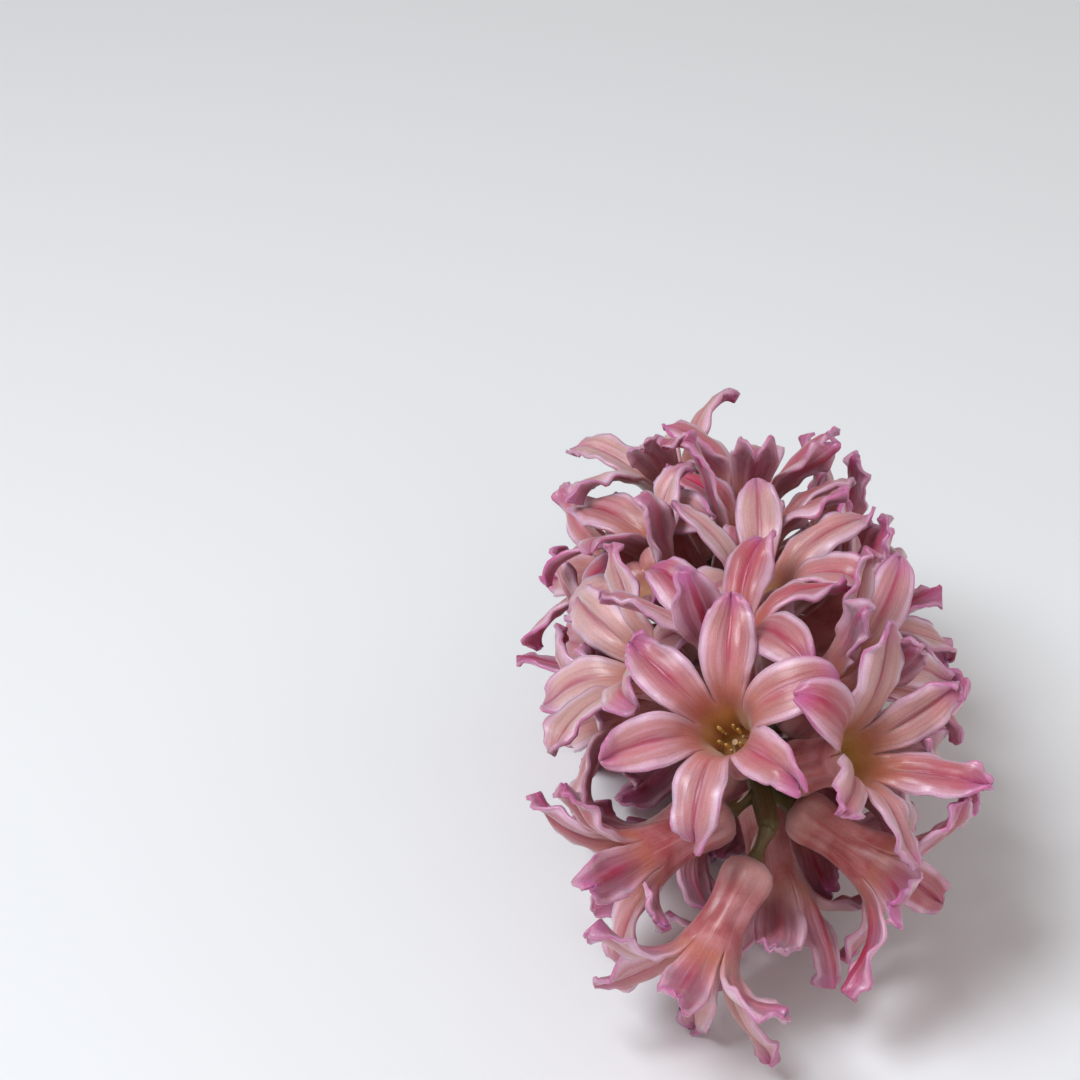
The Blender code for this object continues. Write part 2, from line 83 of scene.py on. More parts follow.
Row = tuple[float, ...]
Colour = tuple[float, float, float]
Point = tuple[float, float, float]
Solid = tuple[np.ndarray, np.ndarray]
Face = tuple[int, int, int]

SEED = 5
WALL = 0.0008
TEPALS = 6
IMAGE_SIDE = 1080
COLOUR_MIX_INPUTS = (0, 6, 7)
COLOUR_MIX_OUTPUT = 2

log = logging.getLogger("hyacinth")


class Slot(Enum):
    """The record's material slots."""

    PETAL = "petal"
    STEM = "stem"
    BUD = "bud"


def unit(vector: np.ndarray) -> np.ndarray:
    """Scales the vector, or each row of an array of vectors, to length one."""
    return vector / np.linalg.norm(vector, axis=-1, keepdims=True)


def eased(values: np.ndarray, start: float, end: float) -> np.ndarray:
    """Rises smoothly from 0 at start to 1 at end."""
    share = np.clip((values - start) / (end - start), 0, 1)
    return share * share * (3 - 2 * share)


def strip_faces(lower: Sequence[int], upper: Sequence[int]) -> list[Face]:
    """Makes the triangles between two rows of point numbers of equal length.

    Args:
        lower: The lower row.
        upper: The upper row.

    Returns:
        The triangles.
    """
    faces = []
    for a, b, c, d in zip(lower, lower[1:], upper[1:], upper):
        faces += [(a, b, c), (a, c, d)]
    return faces


def ring_faces(rings: int, columns: int) -> np.ndarray:
    """Makes the triangles of a closed stack of rings, capped at both ends.

    Args:
        rings: How many rings there are.
        columns: How many points each ring has.

    Returns:
        The triangles, which face outwards.
    """
    number = [[r * columns + c for c in range(columns)] for r in range(rings)]
    faces = []
    for lower, upper in zip(number, number[1:]):
        faces += strip_faces(lower + lower[:1], upper + upper[:1])
    last = number[-1]
    faces += [(0, c + 1, c) for c in range(1, columns - 1)]
    faces += [(last[0], last[c], last[c + 1]) for c in range(1, columns - 1)]
    return np.array(faces)


def normals_of(points: np.ndarray, faces: np.ndarray) -> np.ndarray:
    """Finds the outward normal at each point from the faces round it.

    Args:
        points: The points.
        faces: The triangles.

    Returns:
        One direction a point.
    """
    corners = points[faces]
    face = np.cross(corners[:, 1] - corners[:, 0], corners[:, 2] - corners[:, 0])
    total = np.zeros_like(points)
    for corner in range(3):
        np.add.at(total, faces[:, corner], face)
    size = np.linalg.norm(total, axis=1, keepdims=True)
    return total / np.where(size > 0, size, 1)


def open_edges(faces: np.ndarray) -> list[tuple[int, int]]:
    """Lists the edges that only one face has, in that face's direction.

    Args:
        faces: The triangles.

    Returns:
        The edges.
    """
    ends = np.concatenate([faces[:, [0, 1]], faces[:, [1, 2]], faces[:, [2, 0]]])
    edges = list(map(tuple, ends.tolist()))
    held = set(edges)
    return [edge for edge in edges if edge[::-1] not in held]


def grid_faces(grid: Sequence[Sequence[int]]) -> list[Face]:
    """Makes the triangles between the rows of a grid of point numbers."""
    return [face for pair in zip(grid, grid[1:]) for face in strip_faces(*pair)]


def path_edges(first: int, count: int) -> list[tuple[int, int]]:
    """Lists the edges that join so many points in a row, numbered from the first."""
    return [(i, i + 1) for i in range(first, first + count - 1)]


def thickened(faces: np.ndarray, count: int) -> np.ndarray:
    """Joins a sheet to its copy, whose points are numbered after its own.

    Args:
        faces: The sheet's triangles.
        count: How many points the sheet has.

    Returns:
        The triangles of both sides and of the rim.
    """
    rim = [
        face
        for a, b in open_edges(faces)
        for face in ((b, a, a + count), (b, a + count, b + count))
    ]
    return np.concatenate([faces, faces[:, ::-1] + count, np.array(rim)])


def points_of(piece: Object) -> np.ndarray:
    """Reads a piece's points.

    Args:
        piece: The piece.

    Returns:
        The points as rows.
    """
    cloud = np.zeros(len(piece.data.vertices) * 3, np.float32)
    piece.data.vertices.foreach_get("co", cloud)
    return cloud.reshape(-1, 3)


def tree_of(solids: Iterable[Solid]) -> BVHTree:
    """Builds one search tree over the triangles of several solids.

    Args:
        solids: The solids.

    Returns:
        The search tree.
    """
    solids = list(solids)
    points = np.concatenate([p for p, _ in solids])
    offsets = np.cumsum([0] + [len(p) for p, _ in solids[:-1]])
    faces = np.concatenate([f + o for (_, f), o in zip(solids, offsets)])
    return BVHTree.FromPolygons(points.tolist(), faces.tolist())


@dataclass(frozen=True)
class Spine:
    """The axis of the stem, from its cut end at u = 0 to its tip at u = 1."""

    length: float = 0.150
    bow: float = 0.005
    tip_height: float = 0.0375
    drop: float = 0.0332
    drop_power: float = 2.5
    stations: Row = (0.0, 0.36, 0.46, 0.72, 0.90, 1.0)
    radii: Row = (0.0050, 0.0044, 0.0038, 0.0031, 0.0023, 0.0017)

    def point(self, u: float) -> np.ndarray:
        """Gives a point on the axis."""
        height = self.tip_height - self.drop * (1 - u) ** self.drop_power
        return np.array([self.bow * u * u, -self.length * u, height])

    def direction(self, u: float) -> np.ndarray:
        """Gives the axis's direction at u, towards the tip."""
        rise = self.drop * self.drop_power * (1 - u) ** (self.drop_power - 1)
        return unit(np.array([2 * self.bow * u, -self.length, rise]))

    def radius(self, u: float) -> float:
        """Gives the stem's radius at u."""
        return float(np.interp(u, self.stations, self.radii))

    def frame(self, u: float) -> tuple[np.ndarray, np.ndarray, np.ndarray]:
        """Gives the directions along, aside and above at u.

        Args:
            u: The place on the axis.

        Returns:
            The three directions.
        """
        along = self.direction(u)
        side = unit(np.cross(along, (0, 0, 1)))
        return along, side, np.cross(side, along)

    def solid(self, rings: int = 20, sides: int = 10) -> Solid:
        """Makes the plain stem, resting on the rim of its cut.

        Args:
            rings: How many rings it has.
            sides: How many points each ring has.

        Returns:
            The closed solid.
        """
        turn = np.arange(sides) / sides * 2 * np.pi
        points = []
        for u in np.linspace(0, 1, rings):
            _, side, above = self.frame(u)
            circle = np.outer(np.cos(turn), above) - np.outer(np.sin(turn), side)
            points.append(self.point(u) + circle * self.radius(u))
        cloud = np.concatenate(points)
        cloud[:, 2] = np.maximum(cloud[:, 2], 0)
        return cloud, ring_faces(rings, sides)


@dataclass(frozen=True)
class Place:
    """Where one floret sits: its root on the stem, its axes and its pedicel's reach."""

    root: np.ndarray
    axes: np.ndarray
    reach: float
    rng: np.random.Generator

    def to_world(self, points: np.ndarray, thickness: Any = WALL) -> tuple[np.ndarray, np.ndarray]:
        """Moves floret points to the world, and presses flat what would go too low.

        Args:
            points: Points in the floret's own axes, with its base at the origin.
            thickness: How thick the wall is there, one number or one a point.

        Returns:
            The points as rows, and which of them were pressed.
        """
        world = points.reshape(-1, 3) @ self.axes + self.root + self.axes[2] * self.reach
        lowest = np.broadcast_to(np.asarray(thickness) / 2, len(world))
        pressed = world[:, 2] < lowest
        world[pressed, 2] = lowest[pressed]
        return world, pressed


@dataclass(frozen=True)
class Bell:
    """The plain round body of a tube or bud, as rings along a floret's axis."""

    length: float
    levels: Row
    radii: Row
    sides: int = 12
    rib: float = 0.05

    def solid(self, place: Place, spread: float = 0.0) -> Solid:
        """Makes the closed body at a place, its radii grown by spread.

        Args:
            place: The floret's place.
            spread: How much its radii grow.

        Returns:
            The closed solid.
        """
        turn = np.arange(self.sides) / self.sides * 2 * np.pi
        rib = 1 - self.rib * np.cos(TEPALS * turn)
        circle = np.stack([rib * np.cos(turn), rib * np.sin(turn), 0 * turn], 1)
        rings = [
            circle * (radius + spread) + (0, 0, level * self.length)
            for level, radius in zip(self.levels, self.radii)
        ]
        points, _ = place.to_world(np.array(rings))
        return points, ring_faces(len(rings), self.sides)


TUBE = Bell(0.0158, (0.0, 0.17, 0.55, 1.0), (0.0014, 0.0041, 0.0035, 0.0050))
GUARD = Bell(0.0158, TUBE.levels + (1.30,), TUBE.radii + (0.0080,))
BUD = Bell(
    0.0150, (0.0, 0.14, 0.40, 0.68, 0.90, 1.0), (0.0012, 0.0026, 0.0031, 0.0026, 0.0016, 0.0004)
)


@dataclass(frozen=True)
class Raceme:
    """How the florets stand round the stem, counted from its tip."""

    spine: Spine = Spine()
    places: int = 33
    bud_place: int = 12
    bud_reach: float = 0.0105
    tip_gap: float = 0.0100
    step: float = 0.00236
    shown: tuple[tuple[int, float], ...] = (
        (0, -138), (1, -100), (2, 104), (4, -14), (7, 42), (12, 100), (13, 3), (17, -39),
    )
    golden_angle: float = 137.508
    first_bearing: float = 40.0
    bearing_jitter: float = 7.0
    lean_distances: Row = (0.0, 0.010, 0.030, 0.055, 0.084)
    lean_angles: Row = (52, 66, 82, 92, 99)
    lean_jitter: float = 5.0
    sag: float = 0.07
    bulb_height: float = 0.0030
    bulb_spacing: float = 0.0094
    mouth_spacing: float = 0.0186
    shown_ease: float = 0.08
    spread_steps: int = 120
    spread_rate: float = 0.25
    pedicel_reach: float = 0.0062
    pedicel_jitter: float = 0.0012

    def aim(self, distance: float, bearing: float, lean: float) -> tuple[np.ndarray, np.ndarray]:
        """Finds where a pedicel leaves the stem, and the way that it points.

        Args:
            distance: How far from the tip of the stem it leaves.
            bearing: The angle round the stem, in degrees from the top.
            lean: The angle from the stem's direction, in degrees.

        Returns:
            The place on the stem, and the direction.
        """
        u = 1 - distance / self.spine.length
        along, side, above = self.spine.frame(u)
        around = math.radians(bearing)
        outward = math.cos(around) * above - math.sin(around) * side
        tilt = math.radians(lean)
        axis = math.cos(tilt) * along + math.sin(tilt) * outward
        return self.spine.point(u), unit(axis - np.array([0, 0, self.sag]))

    def spread_out(self, roots: np.ndarray, aims: np.ndarray, reach: np.ndarray) -> np.ndarray:
        """Turns crowded florets away from each other, as they push one another in growth.

        Args:
            roots: Where the pedicels leave the stem.
            aims: Their directions.
            reach: Their lengths.

        Returns:
            The new directions.
        """
        kept = dict(self.shown)
        ease = np.array([self.shown_ease if i in kept else 1.0 for i in range(len(roots))])
        pairs = ((self.bulb_height, self.bulb_spacing), (TUBE.length, self.mouth_spacing))
        for _ in range(self.spread_steps):
            shift = np.zeros_like(aims)
            for height, spacing in pairs:
                lever = (reach + height)[:, None]
                points = roots + aims * lever
                between = points[:, None] - points[None]
                distance = np.linalg.norm(between, axis=-1) + np.eye(len(points))
                push = np.clip(spacing / distance - 1, 0, None) * (1 - np.eye(len(points)))
                shift += np.sum(push[..., None] * between, 1) / lever
            aims = unit(aims + self.spread_rate * ease[:, None] * shift)
        return aims

    @staticmethod
    def axes_of(axis: np.ndarray, roll: float) -> np.ndarray:
        """Makes a matrix whose last row is the axis and whose others are turned by roll.

        Args:
            axis: The floret's own axis.
            roll: Its turn about the axis, in radians.

        Returns:
            The matrix.
        """
        first = unit(np.cross(axis, (0, -1, 0)))
        second = np.cross(axis, first)
        turned = math.cos(roll) * first + math.sin(roll) * second
        return np.array([turned, np.cross(axis, turned), axis])

    def arrange(self) -> tuple[list[Place], Place]:
        """Places everything on the stem.

        Returns:
            The places of the florets from the tip down, and the bud's place.
        """
        kept = dict(self.shown)
        sources = [np.random.default_rng((SEED, i)) for i in range(self.places)]
        found, reach, rolls = [], [], []
        for i, rng in enumerate(sources):
            distance = self.tip_gap + (i - 1) * self.step if i else 0.0
            turn = rng.uniform(-self.bearing_jitter, self.bearing_jitter)
            bearing = kept.get(i, self.first_bearing + i * self.golden_angle + turn)
            lean = np.interp(distance, self.lean_distances, self.lean_angles)
            lean += rng.uniform(-self.lean_jitter, self.lean_jitter) * (i not in kept)
            rolls.append(math.radians(rng.uniform(0, 360 / TEPALS)))
            jitter = rng.uniform(-self.pedicel_jitter, self.pedicel_jitter)
            reach.append(self.pedicel_reach + jitter)
            found.append(self.aim(distance, bearing, lean))
        roots, aims = (np.array(v) for v in zip(*found))
        aims = self.spread_out(roots, aims, np.array(reach))
        places = [
            Place(root, self.axes_of(axis, roll), length, rng)
            for root, axis, roll, length, rng in zip(roots, aims, rolls, reach, sources)
        ]
        held = places.pop(self.bud_place)
        return places, Place(held.root, held.axes, self.bud_reach, held.rng)


@dataclass(frozen=True)
class Tepal:
    """The shape of one tepal, or of many where its values are arrays."""

    end: Any
    curl: Any
    twist: Any
    sway: Any
    length: Any
    width: Any
    channel: Any

    def item(self, number: int) -> "Tepal":
        """Takes one shape out of many."""
        return Tepal(*(values[number] for values in vars(self).values()))


@dataclass(frozen=True)
class TepalRule:
    """How a tepal runs from the tube's rim to its tip."""

    length: float = 0.0192
    width: float = 0.0088
    base_span: float = 0.82
    rim_flare: float = 20
    ends: Pair = (56, 114)
    curls: Pair = (-45, 82)
    twists: Pair = (-26, 26)
    sways: Pair = (-0.14, 0.14)
    size_spread: float = 0.08
    whorl_split: float = 7
    channels: Pair = (0.10, 0.32)
    channel_fade: float = 1.5
    widest: float = 0.5
    rim_width: float = 0.60
    taper: float = 2.3
    bluntness: float = 0.62
    bend_start: float = 0.06
    bend_run: float = 0.94
    bend_power: float = 1.7
    hook_start: float = 0.70
    hook_run: float = 0.30
    hook_power: float = 1.4
    joined: float = 0.3
    steps: int = 60

    def draw(self, rng: np.random.Generator, number: int) -> Tepal:
        """Draws the shape that one tepal would take with nothing in its way.

        Args:
            rng: The floret's random source.
            number: Which of the floret's six it is.

        Returns:
            The shape.
        """
        outer = self.whorl_split if number % 2 else -self.whorl_split
        low, high = 1 - self.size_spread, 1 + self.size_spread
        return Tepal(
            end=rng.uniform(*self.ends) + outer,
            curl=rng.uniform(*self.curls),
            twist=rng.uniform(*self.twists),
            sway=rng.uniform(*self.sways),
            length=self.length * rng.uniform(low, high),
            width=self.width * rng.uniform(low, high),
            channel=rng.uniform(*self.channels),
        )

    def half_outline(self, s: np.ndarray) -> np.ndarray:
        """Gives half the width along the tepal, as a share of its greatest half.

        Args:
            s: Places from 0 at the rim to 1 at the tip.

        Returns:
            The shares.
        """
        early = np.clip(s / self.widest, 0, 1)
        rising = self.rim_width + (1 - self.rim_width) * early * early * (3 - 2 * early)
        late = np.clip(s - self.widest, 0, 1) / (1 - self.widest)
        falling = np.clip(1 - late**self.taper, 0, 1) ** self.bluntness
        return rising * falling

    def points(
        self,
        shape: Tepal,
        number: int,
        along: Sequence[float],
        across: Sequence[float],
        relief: Any = 0.0,
    ) -> np.ndarray:
        """Gives points of a tepal's middle surface in the floret's own axes.

        Args:
            shape: The tepal's shape.
            number: Which of the floret's six it is.
            along: Values from 0 at the rim to 1 at the tip.
            across: Values from -1 to 1 between the edges.
            relief: How far each point stands out on the inner side.

        Returns:
            One row of points for each along.
        """
        end, curl, twist, sway, length, width, channel = (
            np.asarray(value, float)[..., None] for value in vars(shape).values()
        )
        s = np.linspace(0, 1, self.steps)
        bend = 1 - (1 - np.clip((s - self.bend_start) / self.bend_run, 0, 1)) ** self.bend_power
        hook = np.clip((s - self.hook_start) / self.hook_run, 0, 1) ** self.hook_power
        slope = np.radians(self.rim_flare + (end - self.rim_flare) * bend + curl * hook)
        middle = (slope[..., 1:] + slope[..., :-1]) / 2
        step = length / (self.steps - 1)
        start = np.zeros_like(slope[..., :1])
        out = np.concatenate([start, np.cumsum(np.sin(middle) * step, -1)], -1) + TUBE.radii[-1]
        up = np.concatenate([start, np.cumsum(np.cos(middle) * step, -1)], -1) + TUBE.length
        along = np.asarray(along, float)
        low = np.minimum((along * (self.steps - 1)).astype(int), self.steps - 2)
        part = along * (self.steps - 1) - low
        out, up, slope = (
            v[..., low] + (v[..., low + 1] - v[..., low]) * part for v in (out, up, slope)
        )
        centre = math.radians(360 / TEPALS * (number + 0.5))
        radial = np.array([math.cos(centre), math.sin(centre), 0])
        tangential = np.array([-math.sin(centre), math.cos(centre), 0])
        axis = np.array([0, 0, 1])
        drift = sway * length * along**2
        line = out[..., None] * radial + drift[..., None] * tangential + up[..., None] * axis
        run = np.sin(slope)[..., None] * radial + np.cos(slope)[..., None] * axis
        run = unit(run + (2 * sway * along)[..., None] * tangential)
        flat = unit(tangential - np.sum(run * tangential, -1, keepdims=True) * run)
        turn = (np.radians(twist) * along)[..., None]
        wide = np.cos(turn) * flat + np.sin(turn) * np.cross(run, flat)
        inner = np.cross(run, wide)
        across = np.asarray(across, float)
        sector = out * math.tan(math.pi / TEPALS) * self.base_span
        half = np.minimum(width / 2 * self.half_outline(along), sector)
        lift = (channel * (1 - self.channel_fade * along) * half)[..., None] * across**2 + relief
        aside = half[..., None] * across
        free = aside[..., None] * wide[..., None, :] + lift[..., None] * inner[..., None, :]
        free = line[..., None, :] + free
        angle = centre + across * math.pi / TEPALS * self.base_span
        ring = out[..., None] + 0 * across
        cone = [ring * np.cos(angle), ring * np.sin(angle), up[..., None] + 0 * ring]
        hold = np.clip(1 - along / self.joined, 0, 1)[:, None, None] ** 2
        return hold * np.stack(cone, -1) + (1 - hold) * free


@dataclass
class Clearance:
    """Bends tepals clear of what stands round them, by the smallest change that does it."""

    rule: TepalRule
    places: list[Place]
    stalks: list[Solid]
    rows: Row = (0.26, 0.50, 0.72, 0.90)
    free_rows: Row = (0.14, 0.26, 0.50, 0.72, 0.90)
    own_rows: Row = (0.0, 0.26, 0.50, 0.72, 0.90)
    tried_rows: Row = (0.14, 0.26, 0.38, 0.50, 0.61, 0.72, 0.82, 0.90, 1.0)
    bends: Row = (0, 14, -14, 28, -28, 44, -44, 60, -60)
    sways: Row = (0, 0.14, -0.14, 0.28, -0.28, 0.42, -0.42)
    twists: Row = (0, 30, -30, 60, -60)
    lengths: Row = (1.0, 0.88, 0.76, 0.64, 0.52)
    most_turn: float = 205
    length_cost: float = 3.2
    bend_ease: float = 60
    sway_ease: float = 0.32
    twist_ease: float = 60
    root_points: int = 3
    margin: float = 0.00035
    reached: float = 0.00095
    own_reached: float = 0.00076
    neighbourhood: float = 0.055
    batches: tuple[int, ...] = (0, 16, 120, 600)
    repairs: int = 4
    shapes: dict[tuple[int, int], Tepal] = field(default_factory=dict)
    solids: dict[tuple[int, int], Solid] = field(default_factory=dict)
    own: dict[tuple[int, int], Solid] = field(default_factory=dict)

    def blade(self, place: Place, shape: Tepal, number: int, wall: float, rows: Any) -> Solid:
        """Makes one tepal by itself as a closed solid of few faces.

        Args:
            place: The floret's place.
            shape: The tepal's shape.
            number: Which of the floret's six it is.
            wall: How thick it is.
            rows: Where along the tepal its points lie.

        Returns:
            The closed solid.
        """
        across = (-1, 0, 1)
        points = self.rule.points(shape, number, rows, across).reshape(-1, 3)
        tip = self.rule.points(shape, number, [1], [0]).reshape(-1, 3)
        middle, pressed = place.to_world(np.concatenate([points, tip]))
        count = len(middle)
        grid = np.arange(count - 1).reshape(-1, len(across)).tolist()
        tips = [(a, b, count - 1) for a, b in zip(grid[-1], grid[-1][1:])]
        faces = np.array(grid_faces(grid) + tips)
        normal = normals_of(middle, faces)
        normal[pressed] = np.sign(normal[pressed][:, 2:]) * np.array([0, 0, 1])
        cloud = np.concatenate([middle + normal * wall / 2, middle - normal * wall / 2])
        return cloud, thickened(faces, count)

    def changes(self) -> np.ndarray:
        """Lists every way to change a tepal, the slightest first.

        Returns:
            One row a way: the length's share, the bend, the sway and the twist.
        """
        options = itertools.product(self.lengths, self.bends, self.sways, self.twists)
        rows = np.array(list(options))
        bend, sway, twist = np.abs(rows[:, 1:].T)
        effort = (1 - rows[:, 0]) * self.length_cost + bend / self.bend_ease
        effort = effort + sway / self.sway_ease + twist / self.twist_ease
        return rows[np.argsort(effort, kind="stable")]

    def changed(self, shape: Tepal, changes: np.ndarray) -> Tepal:
        """Gives the shape after each of the changes, as arrays.

        Args:
            shape: The tepal's shape.
            changes: One row a change.

        Returns:
            All the shapes.
        """
        length, bend, sway, twist = changes.T
        end = shape.end + bend
        return Tepal(
            end=end,
            curl=np.minimum(shape.curl, self.most_turn - end),
            twist=shape.twist + twist,
            sway=shape.sway + sway,
            length=shape.length * length,
            width=np.full(len(changes), shape.width),
            channel=np.full(len(changes), shape.channel),
        )

    def touches(self, cloud: list, around: BVHTree, own: BVHTree, most: float) -> int:
        """Counts the points that are too near to something, up to most.

        Args:
            cloud: The points.
            around: The search tree of the surroundings.
            own: The search tree of the floret's other tepals.
            most: The count at which it stops.

        Returns:
            The count.
        """
        count = 0
        for number, point in enumerate(cloud):
            near = around.find_nearest(point, self.reached)[0]
            if near is None and number >= self.root_points:
                near = own.find_nearest(point, self.own_reached)[0]
            count += near is not None
            if count >= most:
                break
        return count

    def faults(self, place: Place, shape: Tepal, number: int, trees: Sequence[BVHTree]) -> int:
        """Counts how often a tepal would meet its surroundings, its floret or itself.

        Args:
            place: The floret's place.
            shape: The tepal's shape.
            number: Which of the floret's six it is.
            trees: Search trees of the surroundings, the own tube and the other tepals.

        Returns:
            The count.
        """
        around, tube, own = trees
        wide = self.blade(place, shape, number, WALL + 2 * self.margin, self.free_rows)
        count = len(tree_of([wide]).overlap(around))
        if count:
            return count
        solid = self.blade(place, shape, number, WALL + self.margin, self.rows)
        free = tree_of([solid])
        corners = [set(face) for face in solid[1].tolist()]
        folds = sum(1 for a, b in free.overlap(free) if not corners[a] & corners[b])
        return len(free.overlap(tube)) + len(free.overlap(own)) + folds

    def best(self, place: Place, drawn: Tepal, number: int, trees: Any) -> tuple[Tepal, int]:
        """Finds the least changed shape that comes clear, or the one that touches least.

        Args:
            place: The floret's place.
            drawn: The tepal's shape with nothing in its way.
            number: Which of the floret's six it is.
            trees: Search trees of the surroundings, the own tube and the other tepals.

        Returns:
            The shape, and how often it still touches something.
        """
        around, _, own = trees
        best, fewest = drawn, math.inf
        options = self.changes()
        for first, last in zip(self.batches, self.batches[1:] + (len(options),)):
            batch = self.changed(drawn, options[first:last])
            points = self.rule.points(batch, number, self.tried_rows, (-1, 0, 1))
            cloud = place.to_world(points)[0].reshape(last - first, -1, 3)[:, :-2].tolist()
            for item, tried in enumerate(cloud):
                count = self.touches(tried, around, own, fewest)
                if count >= fewest:
                    continue
                shape = batch.item(item)
                if count == 0:
                    count = self.faults(place, shape, number, trees)
                if count < fewest:
                    best, fewest = shape, count
                if fewest == 0:
                    return best, 0
        return best, int(fewest)

    def solve(self) -> list[list[Tepal]]:
        """Settles every tepal of every floret, from the tip of the spike down.

        Returns:
            The six shapes of each floret.
        """
        guards = [GUARD.solid(place, WALL / 2) for place in self.places]
        tubes = [TUBE.solid(place, WALL / 2) for place in self.places]
        mouths = np.array([p.root + p.axes[2] * (p.reach + TUBE.length) for p in self.places])
        apart = np.linalg.norm(mouths[:, None] - mouths[None], axis=-1)
        apart += np.eye(len(mouths))
        near = [np.flatnonzero(row < self.neighbourhood).tolist() for row in apart]
        keys = list(itertools.product(range(len(self.places)), range(TEPALS)))
        drawn = {key: self.rule.draw(self.places[key[0]].rng, key[1]) for key in keys}

        def surroundings(i: int) -> BVHTree:
            """Gathers what a floret's tepals must keep clear of.

            Args:
                i: Which floret it is.

            Returns:
                Their search tree.
            """
            pairs = itertools.product(near[i], range(TEPALS))
            blades = [self.solids[pair] for pair in pairs if pair in self.solids]
            return tree_of([guards[j] for j in near[i]] + self.stalks + blades)

        def settle(key: tuple[int, int], around: BVHTree) -> int:
            """Finds one tepal's shape and keeps it.

            Args:
                key: The number of the floret and of the tepal.
                around: The search tree of the surroundings.

            Returns:
                How often it still touches something.
            """
            i, number = key
            place = self.places[i]
            others = [(i, t) for t in range(TEPALS) if t != number and (i, t) in self.own]
            beside = tree_of([self.own[other] for other in others] or [tubes[i]])
            trees = (around, tree_of([tubes[i]]), beside)
            shape, count = self.best(place, drawn[key], number, trees)
            self.shapes[key] = shape
            self.solids[key] = self.blade(place, shape, number, WALL, self.free_rows)
            self.own[key] = self.blade(place, shape, number, WALL, self.own_rows)
            return count

        bad = []
        for i in range(len(self.places)):
            around = surroundings(i)
            bad += [(i, t) for t in range(TEPALS) if settle((i, t), around)]
        for _ in range(self.repairs):
            still = []
            for i, t in bad:
                thick, rows = WALL + 2 * self.margin, self.free_rows
                wide = tree_of([self.blade(self.places[i], self.shapes[i, t], t, thick, rows)])
                rivals = [
                    key
                    for key, solid in self.solids.items()
                    if key[0] in near[i] and wide.overlap(tree_of([solid]))
                ]
                still += [key for key in rivals if settle(key, surroundings(key[0]))]
                still += [(i, t)] if settle((i, t), surroundings(i)) else []
            bad = list(dict.fromkeys(still))
        return [[self.shapes[i, t] for t in range(TEPALS)] for i in range(len(self.places))]


class Bench:
    """Places nodes in one tree and joins them."""

    def __init__(self, tree: NodeTree) -> None:
        """Keeps the tree."""
        self.tree = tree

    def feed(self, socket: NodeSocket, value: Any) -> None:
        """Gives an input a value, or joins it to a socket or to a node's first output.

        Args:
            socket: The input.
            value: What it gets.
        """
        if isinstance(value, Node):
            value = value.outputs[0]
        if isinstance(value, NodeSocket):
            self.tree.links.new(value, socket)
        else:
            socket.default_value = value

    def node(self, kind: str, inputs: dict[Any, Any], **settings: Any) -> Node:
        """Adds a node.

        Args:
            kind: Blender's name for the node's type.
            inputs: What each input gets, by its name or number.
            settings: The node's own settings.

        Returns:
            The node.
        """
        made = self.tree.nodes.new(kind)
        for name, value in settings.items():
            setattr(made, name, value)
        for key, value in inputs.items():
            self.feed(made.inputs[key], value)
        return made

    def sum_up(self, operation: str, *values: Any) -> Node:
        """Adds a Math node."""
        return self.node("ShaderNodeMath", dict(enumerate(values)), operation=operation)


class Growth(Bench):
    """A geometry tree with named inputs that ends in a finish."""

    def __init__(self, name: str, **inputs: Any) -> None:
        """Makes the tree and its inputs.

        Args:
            name: The tree's name.
            inputs: Each input's name and its socket type.
        """
        super().__init__(bpy.data.node_groups.new(name, "GeometryNodeTree"))
        face = self.tree.interface
        face.new_socket("Geometry", in_out="INPUT", socket_type="NodeSocketGeometry")
        for label, kind in {**inputs, "Finish": "NodeSocketMaterial"}.items():
            face.new_socket(label, in_out="INPUT", socket_type=kind)
        face.new_socket("Geometry", in_out="OUTPUT", socket_type="NodeSocketGeometry")
        self.given = self.tree.nodes.new("NodeGroupInput").outputs

    def named(self, attribute: str, kind: str = "FLOAT") -> Node:
        """Reads a named attribute."""
        inputs = {"Name": attribute}
        return self.node("GeometryNodeInputNamedAttribute", inputs, data_type=kind)

    def uneven(self, geometry: Any, height: Any, grain: Any) -> Node:
        """Moves a surface in and out along its normals by a soft noise.

        Args:
            geometry: The surface.
            height: How far it moves at most.
            grain: How fine the noise is.

        Returns:
            The node that moves it.
        """
        noise = self.node(
            "ShaderNodeTexNoise",
            {"Vector": self.tree.nodes.new("GeometryNodeInputPosition"), "Scale": grain},
        )
        depth = self.sum_up("MULTIPLY", self.sum_up("SUBTRACT", noise, 0.5), height)
        normal = self.tree.nodes.new("GeometryNodeInputNormal")
        offset = self.node(
            "ShaderNodeVectorMath", {0: normal, "Scale": depth}, operation="SCALE"
        )
        return self.node("GeometryNodeSetPosition", {"Geometry": geometry, "Offset": offset})

    def close(self, geometry: Any) -> NodeTree:
        """Ends the tree with real, smooth and finished geometry.

        Args:
            geometry: What the tree has made.

        Returns:
            The tree.
        """
        real = self.node("GeometryNodeRealizeInstances", {0: geometry})
        smooth = self.node("GeometryNodeSetShadeSmooth", {0: real})
        finish = {"Geometry": smooth, "Material": self.given["Finish"]}
        dressed = self.node("GeometryNodeSetMaterial", finish)
        self.node("NodeGroupOutput", {0: dressed})
        return self.tree


